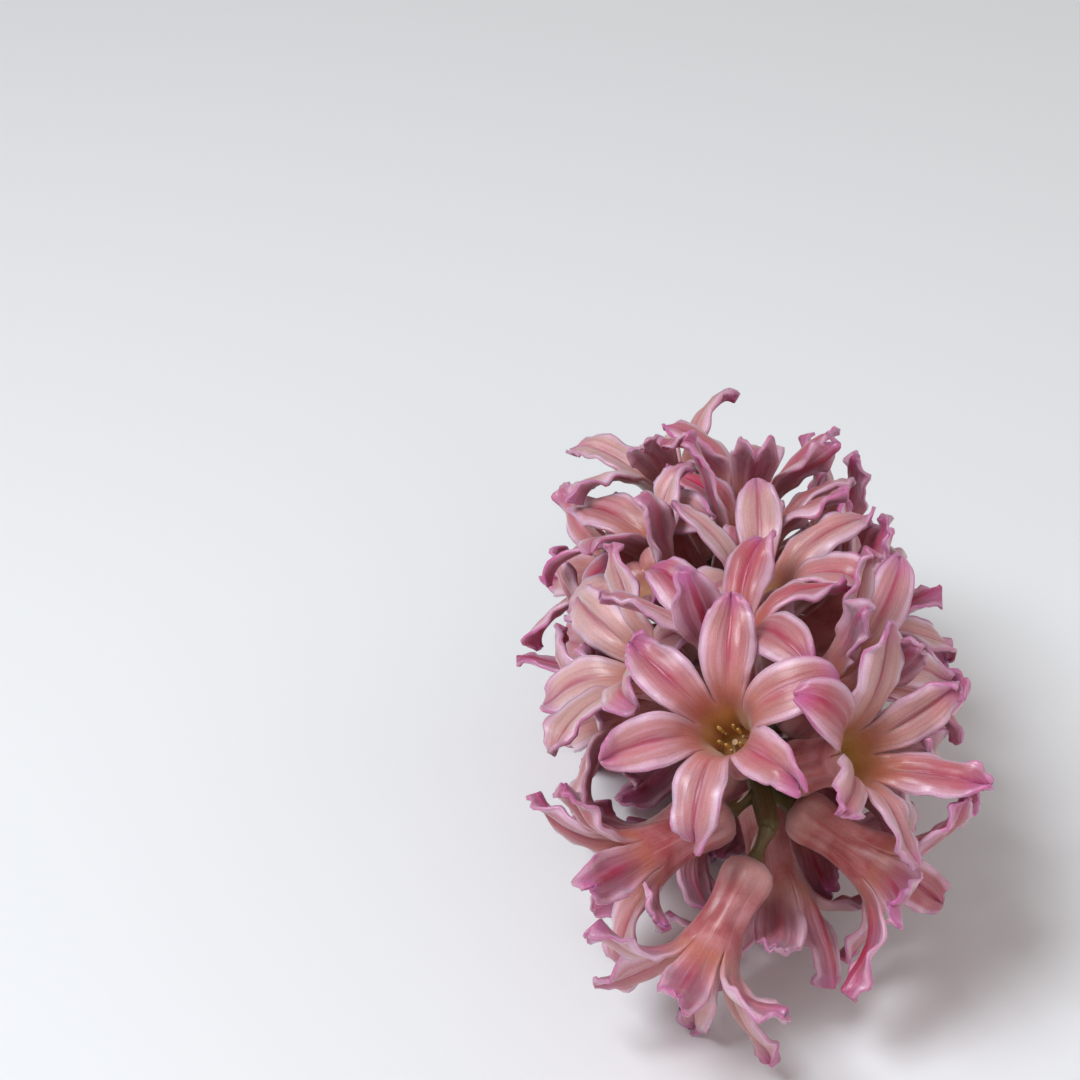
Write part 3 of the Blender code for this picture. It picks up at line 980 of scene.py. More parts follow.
def path_growth() -> NodeTree:
    """A tree that lays a round stalk along edges, as thick as their girth.

    Returns:
        The tree.
    """
    growth = Growth(
        "stalk along a path",
        Sides="NodeSocketInt",
        Unevenness="NodeSocketFloat",
        Grain="NodeSocketFloat",
    )
    curve = growth.node("GeometryNodeMeshToCurve", {0: growth.given["Geometry"]})
    circle = {"Resolution": growth.given["Sides"], "Radius": 1.0}
    profile = growth.node("GeometryNodeCurvePrimitiveCircle", circle)
    stalk = growth.node(
        "GeometryNodeCurveToMesh",
        {0: curve, 1: profile, "Scale": growth.named("girth"), "Fill Caps": True},
    )
    given = growth.given
    return growth.close(growth.uneven(stalk, given["Unevenness"], given["Grain"]))


def strewn_growth() -> NodeTree:
    """A tree that sets one item on every point, standing along the point's aim.

    Returns:
        The tree.
    """
    growth = Growth("items on points", Item="NodeSocketObject")
    item = growth.node("GeometryNodeObjectInfo", {"Object": growth.given["Item"]})
    turn = growth.node(
        "FunctionNodeAlignRotationToVector",
        {"Vector": growth.named("aim", "FLOAT_VECTOR")},
        axis="Z",
    )
    turned = growth.node(
        "FunctionNodeAlignRotationToVector",
        {"Rotation": turn, "Vector": growth.named("facing", "FLOAT_VECTOR")},
        axis="X",
        pivot_axis="Z",
    )
    items = growth.node(
        "GeometryNodeInstanceOnPoints",
        {
            "Points": growth.given["Geometry"],
            "Instance": item.outputs["Geometry"],
            "Rotation": turned,
            "Scale": growth.named("size"),
        },
    )
    return growth.close(items)


def flesh_growth() -> NodeTree:
    """A tree that raises the fine ribs and the soft unevenness of a floret's flesh.

    Returns:
        The tree.
    """
    growth = Growth(
        "petal flesh",
        Unevenness="NodeSocketFloat",
        Grain="NodeSocketFloat",
        Rib_Height="NodeSocketFloat",
        Rib_Count="NodeSocketFloat",
    )
    given = growth.given
    loose = growth.sum_up("MULTIPLY", given["Unevenness"], growth.named("loose"))
    soft = growth.uneven(given["Geometry"], loose, given["Grain"])
    phase = growth.sum_up("MULTIPLY", growth.named("across"), given["Rib_Count"])
    wave = growth.sum_up("COSINE", phase)
    blade = growth.named("blade")
    height = growth.sum_up("MULTIPLY", growth.sum_up("MULTIPLY", wave, blade), given["Rib_Height"])
    normal = growth.tree.nodes.new("GeometryNodeInputNormal")
    offset = growth.node("ShaderNodeVectorMath", {0: normal, "Scale": height}, operation="SCALE")
    ribbed = growth.node("GeometryNodeSetPosition", {"Geometry": soft, "Offset": offset})
    return growth.close(ribbed)


def piece_of(
    name: str, points: np.ndarray, faces: Any = (), edges: Any = (), **attributes: np.ndarray
) -> Object:
    """Makes a mesh object at the origin.

    Args:
        name: The object's name.
        points: Its points.
        faces: Its faces.
        edges: Its edges, where it has no faces.
        attributes: One value a point under each name, a number or a vector.

    Returns:
        The object, linked to the scene.
    """
    mesh = bpy.data.meshes.new(name)
    mesh.from_pydata(points.tolist(), list(edges), np.asarray(faces).tolist())
    for label, values in attributes.items():
        vector = values.ndim == 2
        kind = "FLOAT_VECTOR" if vector else "FLOAT"
        layer = mesh.attributes.new(label, kind, "POINT")
        layer.data.foreach_set("vector" if vector else "value", values.astype(np.float32).ravel())
    made = bpy.data.objects.new(name, mesh)
    bpy.context.scene.collection.objects.link(made)
    return made


def grow(seed: Object, tree: NodeTree, **inputs: Any) -> Object:
    """Runs a geometry tree on an object and keeps the result as a plain mesh.

    Args:
        seed: The object that the tree starts from, which becomes the result.
        tree: The tree.
        inputs: The tree's inputs, by name.

    Returns:
        The same object with its new mesh and no modifier.
    """
    modifier = seed.modifiers.new("grow", "NODES")
    modifier.node_group = tree
    sockets = {
        item.name: item.identifier
        for item in tree.interface.items_tree
        if item.item_type == "SOCKET" and item.in_out == "INPUT"
    }
    for name, value in inputs.items():
        modifier[sockets[name]] = value
    graph = bpy.context.evaluated_depsgraph_get()
    grown = bpy.data.meshes.new_from_object(
        seed.evaluated_get(graph), preserve_all_data_layers=True, depsgraph=graph
    )
    seed.modifiers.clear()
    old, seed.data = seed.data, grown
    bpy.data.meshes.remove(old)
    grown.name = seed.name
    return seed


def hold_inside(piece: Object, low: Vector, high: Vector) -> None:
    """Presses a piece's points into a box, which only ever takes hairs off its edge.

    Args:
        piece: The piece.
        low: The box's lowest corner.
        high: The box's highest corner.
    """
    cloud = np.clip(points_of(piece), np.array(low), np.array(high))
    piece.data.vertices.foreach_set("co", cloud.astype(np.float32).ravel())
    piece.data.update()


class Paint(Bench):
    """A material's node tree with its Principled shader."""

    strand_step = 40.0

    def __init__(self, name: str, roughness: float, **levels: Any) -> None:
        """Makes the material.

        Args:
            name: The material's name.
            roughness: Its roughness.
            levels: Values for other inputs of the shader, with _ for a space.
        """
        self.material = bpy.data.materials.new(name)
        self.material.use_nodes = True
        super().__init__(self.material.node_tree)
        self.shader = self.tree.nodes["Principled BSDF"]
        self.shader.inputs["Roughness"].default_value = roughness
        for label, value in levels.items():
            self.shader.inputs[label.replace("_", " ")].default_value = value
        where = self.tree.nodes.new("ShaderNodeTexCoord")
        self.where = where.outputs["Object"]

    def attribute(self, name: str) -> NodeSocket:
        """Reads a number kept on the points.

        Args:
            name: The attribute's name.

        Returns:
            The socket that gives it.
        """
        made = self.tree.nodes.new("ShaderNodeAttribute")
        made.attribute_name = name
        return made.outputs["Fac"]

    def noise(self, scale: float, detail: float = 2.0, distortion: float = 0.0) -> Any:
        """Adds a noise over the object's own coordinates, about 0.5 on average."""
        inputs = {"Vector": self.where, "Scale": scale, "Detail": detail}
        return self.node("ShaderNodeTexNoise", {**inputs, "Distortion": distortion}).outputs[0]

    def strands(self, across: Any, along: Any, offset: Any, fineness: float) -> Any:
        """Adds a noise drawn out along the flesh, about 0.5 on average.

        Args:
            across: The place across the tepal.
            along: The place along it.
            offset: What tells one tepal from the next.
            fineness: How many strands lie side by side.

        Returns:
            The noise.
        """
        aside, apart = self.product(across, fineness), self.product(offset, self.strand_step)
        where = self.node("ShaderNodeCombineXYZ", {"X": aside, "Y": along, "Z": apart})
        drawn = {"Vector": where, "Scale": 1.0, "Detail": 4.0}
        return self.node("ShaderNodeTexNoise", drawn).outputs[0]

    def ramp(self, value: Any, start: float, end: float, low: float = 0, high: float = 1) -> Any:
        """Maps a value smoothly from low at start to high at end.

        Args:
            value: The value.
            start: Where it starts to rise.
            end: Where it stops.
            low: What it gives before the start.
            high: What it gives after the end.

        Returns:
            The mapped value.
        """
        inputs = {"Value": value, "From Min": start, "From Max": end, "To Min": low, "To Max": high}
        made = self.node("ShaderNodeMapRange", inputs, interpolation_type="SMOOTHSTEP")
        return made.outputs[0]

    def mix(self, share: Any, first: Any, second: Any) -> Any:
        """Mixes two colours.

        Args:
            share: How much of the second colour it takes.
            first: The first colour.
            second: The second colour.

        Returns:
            The mixed colour.
        """
        made = self.tree.nodes.new("ShaderNodeMix")
        made.data_type = "RGBA"
        for number, value in zip(COLOUR_MIX_INPUTS, (share, first, second)):
            self.feed(made.inputs[number], (*value, 1.0) if isinstance(value, tuple) else value)
        return made.outputs[COLOUR_MIX_OUTPUT]

    def coats(self, colour: Any, *layers: tuple[Any, Any]) -> Any:
        """Lays colours over one another.

        Args:
            colour: The lowest colour.
            layers: The share of each further colour, and the colour.

        Returns:
            The colour that shows.
        """
        for share, above in layers:
            colour = self.mix(share, colour, above)
        return colour

    def product(self, *values: Any) -> Any:
        """Multiplies several values.

        Args:
            values: The values.

        Returns:
            Their product.
        """
        result = values[0]
        for value in values[1:]:
            result = self.sum_up("MULTIPLY", result, value).outputs[0]
        return result

    def finish(self, colour: Any, height: Any = None, relief: float = 0.0) -> Material:
        """Joins the colour and the bump to the shader.

        Args:
            colour: The base colour.
            height: The bump's height, from 0 to 1.
            relief: How deep the bump is, in metres.

        Returns:
            The material.
        """
        self.feed(self.shader.inputs["Base Color"], colour)
        if height is not None:
            bump = self.node("ShaderNodeBump", {"Height": height, "Strength": 1.0, "Distance": relief})
            self.feed(self.shader.inputs["Normal"], bump.outputs["Normal"])
        return self.material


@dataclass(frozen=True)
class FleshMap:
    """Where a point lies on a floret and which marks fall there, as sockets."""

    along: Any
    inside: Any
    tint: Any
    reach: Any
    blade: Any
    blotch: Any
    patchy: Any
    streak: Any
    lines: Any


@dataclass(frozen=True)
class PetalFinish:
    """Waxy hyacinth flesh: salmon tubes and pale tepals with a rose stripe and lilac tips."""

    pale_inside: Colour = (0.49, 0.215, 0.23)
    pale_outside: Colour = (0.48, 0.24, 0.31)
    # The pale margin colour: partly the tepals' real pale margins, partly a painted highlight, brightened
    # and made lilac to stand for the light on the rims.
    margin: Colour = (0.74, 0.50, 0.60)
    cream: Colour = (0.73, 0.49, 0.44)
    rose: Colour = (0.44, 0.085, 0.13)
    lilac: Colour = (0.50, 0.17, 0.33)
    peach: Colour = (0.52, 0.215, 0.16)
    throat: Colour = (0.66, 0.42, 0.19)
    salmon: Colour = (0.41, 0.125, 0.125)
    blush: Colour = (0.56, 0.26, 0.26)
    bulb: Colour = (0.66, 0.40, 0.38)
    roughness: float = 0.36
    glow: float = 0.50
    glow_radius: Colour = (1.0, 0.38, 0.30)
    glow_scale: float = 0.0016
    blotch_grain: float = 140
    strand_grain: float = 230
    tint_grain: float = 45
    # Grain of the fine cell noise, whose colour speckle is painted glints and whose bump is real.
    cell_and_glint_grain: float = 4200
    streaks: float = 6.0
    lines: float = 24.0
    line_waver: float = 7.0
    stripe_waver: float = 0.30
    relief: float = 0.00012

    def chart(self, paint: Paint) -> FleshMap:
        """Finds where a floret's marks fall.

        Args:
            paint: The material.

        Returns:
            The values that its colours read.
        """
        along, across = paint.attribute("along"), paint.attribute("across")
        inside, tint = paint.attribute("inside"), paint.attribute("tint")
        blotch = paint.noise(self.blotch_grain, 3)
        streak = paint.strands(across, along, tint, self.streaks)
        sway = paint.sum_up("SUBTRACT", blotch, 0.5)
        sway = paint.sum_up("MULTIPLY", sway, self.stripe_waver)
        reach = paint.sum_up("ABSOLUTE", paint.sum_up("ADD", across, sway)).outputs[0]
        blade = paint.ramp(along, 0.95, 1.12)
        patchy = paint.ramp(blotch, 0.32, 0.68, 0.35, 0.95)
        waver = paint.product(streak, self.line_waver)
        uneven = paint.sum_up("ADD", paint.product(across, self.lines), waver)
        lines = paint.ramp(paint.sum_up("COSINE", uneven), 0.3, 1.0)
        lines = paint.product(lines, paint.ramp(blade, 0, 1, 0.12, 1))
        return FleshMap(along, inside, tint, reach, blade, blotch, patchy, streak, lines)

    def tepals(self, paint: Paint, at: FleshMap) -> Any:
        """Colours the tepals, from their peach roots to their lilac ends.

        Args:
            paint: The material.
            at: Where the marks fall.

        Returns:
            The colour.
        """
        inner = paint.mix(paint.ramp(at.tint, 0.20, 0.90, 0.0, 0.85), self.pale_inside, self.cream)
        pale = paint.mix(at.inside, self.pale_outside, inner)
        grown = paint.ramp(at.along, 1.05, 1.70)
        flush = paint.product(paint.ramp(at.reach, 0.0, 0.85, 1, 0), paint.ramp(grown, 0, 1, 0.35, 0.75))
        stripe = paint.product(paint.ramp(at.reach, 0.02, 0.24, 1, 0), paint.ramp(grown, 0, 1, 0.25, 0.95))
        deep = paint.ramp(at.tint, 0.1, 1.0, 1.0, 0.5)
        root = paint.ramp(at.along, 1.0, 1.5, 1, 0)
        end = paint.ramp(at.along, 1.72, 2.0)
        edge = paint.product(paint.ramp(at.reach, 0.90, 1.0), paint.ramp(at.along, 1.3, 1.8))
        return paint.coats(
            pale,
            # Pale band towards the edges: the real pale margin, partly a painted highlight on the rims.
            (paint.ramp(at.reach, 0.55, 0.9), self.margin),
            (paint.product(flush, at.patchy, deep), self.rose),
            (paint.product(stripe, 0.8), self.rose),
            (paint.product(at.lines, 0.10), self.rose),
            (paint.product(paint.ramp(at.streak, 0.50, 0.68), 0.20), self.rose),
            # Pale streaks, in the margin colour that carries a painted highlight.
            (paint.product(paint.ramp(at.streak, 0.32, 0.48, 1, 0), 0.26), self.margin),
            (paint.product(root, paint.ramp(at.patchy, 0, 1, 0.6, 0.95)), self.peach),
            (paint.product(end, at.patchy), self.lilac),
            (paint.product(edge, at.patchy), self.lilac),
            (paint.product(at.inside, paint.ramp(at.along, 0.70, 1.10, 1, 0)), self.throat),
        )

    def tube(self, paint: Paint, at: FleshMap) -> Any:
        """Colours the outside of the tube, pale at its swollen base.

        Args:
            paint: The material.
            at: Where the marks fall.

        Returns:
            The colour.
        """
        strand = paint.noise(self.strand_grain, 4, 0.4)
        return paint.coats(
            self.salmon,
            (paint.ramp(strand, 0.3, 0.68), self.blush),
            (paint.ramp(at.along, 0.08, 0.42, 0.8, 0), self.bulb),
            (paint.product(paint.ramp(at.streak, 0.50, 0.72), 0.20), self.rose),
            (paint.product(paint.ramp(at.streak, 0.30, 0.46, 1, 0), 0.32), self.bulb),
        )

    def build(self) -> Material:
        """Makes the material.

        Returns:
            The material.
        """
        paint = Paint(
            "petal flesh",
            self.roughness,
            Subsurface_Weight=self.glow,
            Subsurface_Radius=self.glow_radius,
            Subsurface_Scale=self.glow_scale,
            Specular_IOR_Level=0.50,
            Coat_Weight=0.25,
            Coat_Roughness=0.28,
            Sheen_Weight=0.25,
            Sheen_Roughness=0.4,
            Sheen_Tint=(0.85, 0.90, 1.0, 1.0),
        )
        at = self.chart(paint)
        outer_tube = paint.product(paint.ramp(at.blade, 0, 1, 1, 0), paint.ramp(at.inside, 0, 1, 1, 0))
        colour = paint.mix(outer_tube, self.tepals(paint, at), self.tube(paint, at))
        shade = paint.node(
            "ShaderNodeHueSaturation",
            {
                "Hue": paint.ramp(paint.noise(self.tint_grain, 1), 0.3, 0.7, 0.492, 0.508),
                "Saturation": paint.ramp(at.tint, 0, 1, 1.24, 0.98),
                "Value": paint.ramp(at.blotch, 0.25, 0.75, 0.88, 1.10),
                "Color": colour,
            },
        )
        # Fine cell noise: a speckle of lighter and darker colour that is painted glints, standing for the
        # sparkle of the cells, and a real bump below.
        cells_and_glints = paint.noise(self.cell_and_glint_grain, 2)
        shade = paint.node(
            "ShaderNodeHueSaturation",
            {"Value": paint.ramp(cells_and_glints, 0.3, 0.7, 0.93, 1.07), "Color": shade.outputs[0]},
        )
        height = paint.sum_up("ADD", paint.product(cells_and_glints, 0.4), paint.product(at.lines, 0.35))
        return paint.finish(shade.outputs[0], height.outputs[0], self.relief)


@dataclass(frozen=True)
class StalkFinish:
    """Green stalk skin with a dull bloom and a red-brown flush."""

    green: Colour = (0.100, 0.078, 0.018)
    flush: Colour = (0.14, 0.058, 0.022)
    pith: Colour = (0.42, 0.48, 0.22)
    fibre_run: float = 0.009
    fibre_grain: float = 1500.0
    flush_grain: float = 160
    cut_depth: float = 0.0015
    relief: float = 0.00014

    def build(self) -> Material:
        """Makes the material.

        Returns:
            The material.
        """
        paint = Paint(
            "stalk skin",
            0.5,
            Subsurface_Weight=0.12,
            Subsurface_Radius=(0.4, 0.6, 0.2),
            Subsurface_Scale=0.001,
        )
        flush = paint.ramp(paint.noise(self.flush_grain, 4), 0.42, 0.72)
        core = paint.node("ShaderNodeAttribute", {}, attribute_name="core").outputs["Vector"]
        run = paint.product(paint.attribute("run"), self.fibre_run)
        aside = paint.node("ShaderNodeVectorMath", {0: paint.where, 1: core}, operation="SUBTRACT")
        drawn = paint.node("ShaderNodeCombineXYZ", {"Y": run})
        strung = paint.node("ShaderNodeVectorMath", {0: aside, 1: drawn}, operation="ADD")
        strands = {"Vector": strung, "Scale": self.fibre_grain, "Detail": 3.0}
        fibres = paint.node("ShaderNodeTexNoise", strands).outputs[0]
        speck = paint.ramp(paint.noise(self.fibre_grain, 3), 0.60, 0.78)
        colour = paint.coats(
            self.green,
            (paint.product(flush, 0.65), self.flush),
            (paint.ramp(fibres, 0.45, 0.75, 0, 0.13), self.pith),
            (paint.product(speck, 0.2), self.pith),
            (paint.ramp(paint.attribute("run"), 0.0, self.cut_depth, 1, 0), self.pith),
        )
        return paint.finish(colour, fibres, self.relief)


@dataclass(frozen=True)
class BudFinish:
    """Fresh green bud flesh with six paler seams."""

    green: Colour = (0.22, 0.42, 0.06)
    seam: Colour = (0.42, 0.58, 0.18)
    blush: Colour = (0.55, 0.30, 0.24)
    grain: float = 3000
    relief: float = 0.0001

    def build(self) -> Material:
        """Makes the material.

        Returns:
            The material.
        """
        paint = Paint(
            "bud flesh",
            0.4,
            Subsurface_Weight=0.2,
            Subsurface_Radius=(0.5, 0.8, 0.3),
            Subsurface_Scale=0.001,
        )
        seam = paint.ramp(paint.sum_up("ABSOLUTE", paint.attribute("across")), 0.6, 1.0)
        colour = paint.mix(seam, self.green, self.seam)
        blush = paint.ramp(paint.attribute("along"), 0.55, 1.0)
        colour = paint.mix(paint.product(blush, 0.45), colour, self.blush)
        return paint.finish(colour, paint.noise(self.grain, 3), self.relief)


@dataclass(frozen=True)
class PowderFinish:
    """Plain matter with a mottled colour, for anthers, bracts and the like."""

    name: str
    dark: Colour
    light: Colour
    grain: float = 1800
    roughness: float = 0.75
    relief: float = 0.00015

    def build(self) -> Material:
        """Makes the material.

        Returns:
            The material.
        """
        paint = Paint(self.name, self.roughness, Subsurface_Weight=0.1, Subsurface_Scale=0.0008)
        spots = paint.noise(self.grain, 3)
        colour = paint.mix(paint.ramp(spots, 0.35, 0.65), self.dark, self.light)
        return paint.finish(colour, spots, self.relief)


POLLEN = PowderFinish("pollen", (0.42, 0.26, 0.06), (0.66, 0.48, 0.16))
FILAMENT = PowderFinish("filament", (0.40, 0.23, 0.12), (0.50, 0.32, 0.17), 900, 0.6)
BRACT = PowderFinish("bract", (0.60, 0.34, 0.34), (0.78, 0.66, 0.56), 700, 0.6)


@dataclass(frozen=True)
class TableFinish:
    """A pale matt table top."""

    tone: Colour = (0.88, 0.88, 0.88)
    cloud: Colour = (0.80, 0.80, 0.80)
    roughness: float = 0.85
    grain: float = 3
    share: float = 0.06

    def build(self) -> Material:
        """Makes the material.

        Returns:
            The material.
        """
        paint = Paint("pale table", self.roughness)
        share = paint.ramp(paint.noise(self.grain, 2), 0.3, 0.7, 0.0, self.share)
        return paint.finish(paint.mix(share, self.tone, self.cloud))


@dataclass
class FloretWeave:
    """The mesh of a fine floret: which points it has and how faces join them."""

    columns: int = 14
    levels: Row = (
        0.0, 0.03, 0.07, 0.12, 0.17, 0.24, 0.32, 0.41, 0.50, 0.59, 0.68, 0.77, 0.86, 0.94, 1.0,
    )
    throat_level: int = 6
    rows: Row = tuple(np.linspace(0, 0.88, 23)[1:]) + (
        0.905, 0.928, 0.949, 0.967, 0.981, 0.992,
    )

    def __post_init__(self) -> None:
        """Numbers the points and joins them once for all florets."""
        width = self.columns + 1
        ring = TEPALS * width
        rings = np.arange(len(self.levels) * ring).reshape(len(self.levels), ring).tolist()
        centre = len(self.levels) * ring
        cap = [(centre, b, a) for a, b in zip(rings[0], rings[0][1:] + rings[0][:1])]
        low, high = [], []
        for level, (lower, upper) in enumerate(zip(rings, rings[1:])):
            strip = strip_faces(lower + lower[:1], upper + upper[:1])
            (high if level >= self.throat_level else low).extend(strip)
        first = centre + 1
        for tepal in range(TEPALS):
            grid = [rings[-1][tepal * width:(tepal + 1) * width]]
            for row in range(len(self.rows)):
                grid.append([first + row * width + column for column in range(width)])
            tip = first + len(self.rows) * width
            high += grid_faces(grid)
            high += [(a, b, tip) for a, b in zip(grid[-1], grid[-1][1:])]
            first = tip + 1
        self.count = first
        self.outer = np.array(cap + low + high)
        sides = open_edges(self.outer)
        inner = np.array(high)
        floor = sorted(set(open_edges(inner)) - set(sides))
        faces = [self.outer, inner[:, ::-1] + first]
        faces += [np.array([(b, a, a + first), (b, a + first, b + first)]) for a, b in sides]
        faces.append(np.array([(a + first, b + first, 2 * first) for a, b in floor]))
        joined = np.concatenate(faces)
        self.used = np.unique(joined)
        number = np.zeros(2 * first + 1, int)
        number[self.used] = np.arange(len(self.used))
        self.faces = number[joined]
        self.face_list = self.faces.tolist()
        owner = np.full(first, -1)
        owner[centre + 1:] = np.arange(first - centre - 1) // (len(self.rows) * width + 1)
        self.owner = np.concatenate([owner, owner, [-1]])[joined].max(1)
        one = np.append(np.repeat(self.rows, width), 1.0)
        height = np.concatenate([np.zeros(centre + 1), np.tile(one, TEPALS)])
        self.height = np.concatenate([height, height, [0]])[joined].min(1)


@dataclass
class FineFloret:
    """One floret at its real finish: a bell tube that parts into six fleshy tepals."""

    weave: FloretWeave
    rule: TepalRule
    knots: Row = (0.0, 0.05, 0.17, 0.34, 0.55, 0.80, 1.0)
    radii: Row = (0.0016, 0.0032, 0.0041, 0.0038, 0.0035, 0.0041, 0.0050)
    rib: float = 0.08
    throat: float = 0.0046
    groove: float = 0.00062
    pillow: float = 0.00052
    roll: float = 0.0014
    hood: float = 0.0023
    ripple: float = 0.00088
    edge_wall: float = 0.25
    groove_width: float = 0.16
    groove_fade: float = 0.35
    roundness: float = 1.3
    rolled_from: float = 0.40
    roll_power: float = 1.6
    roll_draw: Pair = (-0.9, 0.7)
    roll_fades: Pair = (0.55, 0.9)
    hood_draw: Pair = (0.35, 1.0)
    hood_rises: Pair = (0.62, 0.95)
    wave_counts: tuple[float, float, float] = (2.1, 4.3, 8)
    wave_shares: Pair = (0.35, 0.30)
    wave_paces: Pair = (0.8, 1.25)
    edge_power: float = 2.4
    creased_from: Pair = (0.05, 0.35)
    crinkled_from: Pair = (0.45, 0.95)
    fine_from: Pair = (0.6, 0.95)
    crinkles: Pair = (0.5, 0.9)
    crease_source: int = 1000
    paleness: float = 0.6
    tube_tint: float = 0.2
    tepal_tint: float = 0.4
    tube_loose: float = 0.45
    blade_loose: float = 0.55
    tip_loose: float = 1.3

    def radius_at(self, level: np.ndarray) -> np.ndarray:
        """Gives the tube's radius on a smooth curve through its knots.

        Args:
            level: Places from 0 at the base to 1 at the rim.

        Returns:
            The radii.
        """
        knots, radii = np.array(self.knots), np.array(self.radii)
        slopes = np.gradient(radii, knots)
        k = np.clip(np.searchsorted(knots, level, side="right") - 1, 0, len(knots) - 2)
        span = knots[k + 1] - knots[k]
        t = (level - knots[k]) / span
        flat, tilt = 2 * t**3 - 3 * t**2, t**3 - 2 * t**2 + t
        ends = (1 + flat) * radii[k] - flat * radii[k + 1]
        return ends + span * (tilt * slopes[k] + (t**3 - t**2) * slopes[k + 1])

    def tube(self) -> tuple[np.ndarray, np.ndarray, np.ndarray]:
        """Makes the tube's rings and the centre of its base.

        Returns:
            The points, and each point's values along and across.
        """
        levels = np.array(self.weave.levels)
        across = np.tile(np.linspace(-1, 1, self.weave.columns + 1), TEPALS)
        centres = np.repeat(np.arange(TEPALS) + 0.5, self.weave.columns + 1)
        turn = centres * 2 * np.pi / TEPALS + across * math.pi / TEPALS * self.rule.base_span
        fade = eased(levels, 0.0, 0.2) * (1 - eased(levels, 0.6, 1.0))
        rib = 1 - self.rib * fade[:, None] * np.cos(TEPALS * turn)
        radius = self.radius_at(levels)[:, None] * rib
        height = np.broadcast_to(levels[:, None] * TUBE.length, radius.shape)
        rings = np.stack([radius * np.cos(turn), radius * np.sin(turn), height], -1)
        points = np.concatenate([rings.reshape(-1, 3), np.zeros((1, 3))])
        along = np.append(np.repeat(levels, len(turn)), 0)
        return points, along, np.append(np.tile(across, len(levels)), 0)

    def relief(self, along: np.ndarray, across: np.ndarray, rng: np.random.Generator) -> np.ndarray:
        """Raises a tepal's two fleshy halves, its rolled margins, its hooded tip and ripples.

        Args:
            along: Places from the rim to the tip.
            across: Places from one edge to the other.
            rng: The source of its creases.

        Returns:
            How far each point stands out on the inner side.
        """
        a, x = along[:, None], across[None]
        freedom = eased(a, *self.creased_from)
        groove = -self.groove * np.exp(-((x / self.groove_width) ** 2)) * (1 - self.groove_fade * a)
        halves = self.pillow * np.sin(math.pi * np.abs(x)) ** self.roundness
        edge = np.clip((np.abs(x) - self.rolled_from) / (1 - self.rolled_from), 0, 1) ** self.roll_power
        roll = self.roll * rng.uniform(*self.roll_draw) * edge * (1 - eased(a, *self.roll_fades))
        roll = roll + self.hood * rng.uniform(*self.hood_draw) * eased(a, *self.hood_rises) * x**2
        roll = roll + groove + halves
        long, short, fine = (2 * math.pi * count for count in self.wave_counts)
        second, third = self.wave_shares
        waves = 0.0
        for side in (-1, 1):
            phase, pace = rng.uniform(0, 2 * math.pi, 3), rng.uniform(*self.wave_paces, 3)
            train = np.sin(long * pace[0] * a + phase[0])
            train = train + second * np.sin(short * pace[1] * a + phase[1])
            tip = third * eased(a, *self.fine_from) * np.sin(fine * pace[2] * a + phase[2])
            waves = waves + np.where(x * side > 0, train + tip, 0) * np.abs(x) ** self.edge_power
        least, more = self.crinkles
        growing = least + more * eased(a, *self.crinkled_from)
        return freedom * (roll + self.ripple * growing * waves)

    def build(
        self, name: str, place: Place, shapes: Sequence[Tepal], seed: int, ease: np.ndarray
    ) -> Object:
        """Makes the floret.

        Args:
            name: The object's name.
            place: Where the floret sits.
            shapes: Its six tepals.
            seed: The source of its creases.
            ease: How much of its creases each tepal keeps, from 0 to 1.

        Returns:
            The object, with the attributes that its finish and its growth read.
        """
        rng = np.random.default_rng((SEED, self.crease_source + seed))
        points, along, across = self.tube()
        clouds, alongs, acrosses = [points], [along], [across]
        paleness = rng.uniform(0, self.paleness)
        tints = [np.full(len(points), paleness + self.tube_tint)]
        eases = [np.ones(len(points))]
        rows = np.array(self.weave.rows)
        columns = np.linspace(-1, 1, self.weave.columns + 1)
        for number, shape in enumerate(shapes):
            relief = self.relief(rows, columns, rng) * ease[number]
            grid = self.rule.points(shape, number, rows, columns, relief)
            tip = self.rule.points(shape, number, [1], [0])
            clouds += [grid.reshape(-1, 3), tip.reshape(-1, 3)]
            alongs.append(np.append(np.repeat(rows, len(columns)), 1) + 1)
            acrosses.append(np.append(np.tile(columns, len(rows)), 0))
            tint = paleness + rng.uniform(0, self.tepal_tint)
            tints.append(np.full(len(alongs[-1]), tint))
            eases.append(np.full(len(alongs[-1]), ease[number]))
        cloud, along = np.concatenate(clouds), np.concatenate(alongs)
        across, tint = np.concatenate(acrosses), np.concatenate(tints)
        free = eased(along, 1.1, 1.5)
        thin = self.edge_wall * free * np.maximum(np.abs(across) ** 3, eased(along, 1.8, 2.0))
        wall = WALL * (1 - thin)
        middle, pressed = place.to_world(cloud, wall)
        normal = normals_of(middle, self.weave.outer)
        normal[pressed] = np.sign(normal[pressed][:, 2:]) * np.array([0, 0, 1])
        shift = normal * wall[:, None] / 2
        floor, _ = place.to_world(np.array([0, 0, self.throat]))
        shell = np.concatenate([middle + shift, middle - shift, floor])[self.weave.used]
        inside = np.concatenate([np.zeros(len(middle)), np.ones(len(middle) + 1)])
        blade = eased(along, 1.05, 1.4) * (1 - eased(along, 1.8, 2.0))
        loose = self.tube_loose + self.blade_loose * free + self.tip_loose * eased(along, 1.66, 1.92)
        loose = loose * np.concatenate(eases)

        def twice(values: np.ndarray, last: float) -> np.ndarray:
            """Repeats values for both faces and adds the throat floor's."""
            return np.concatenate([values, values, [last]])[self.weave.used]

        return piece_of(
            name,
            shell,
            self.weave.faces,
            along=twice(along, 0.3),
            across=twice(across, 0.0),
            tint=twice(tint, 0.5),
            blade=twice(blade, 0.0),
            loose=twice(loose, 0.0),
            inside=inside[self.weave.used],
        )


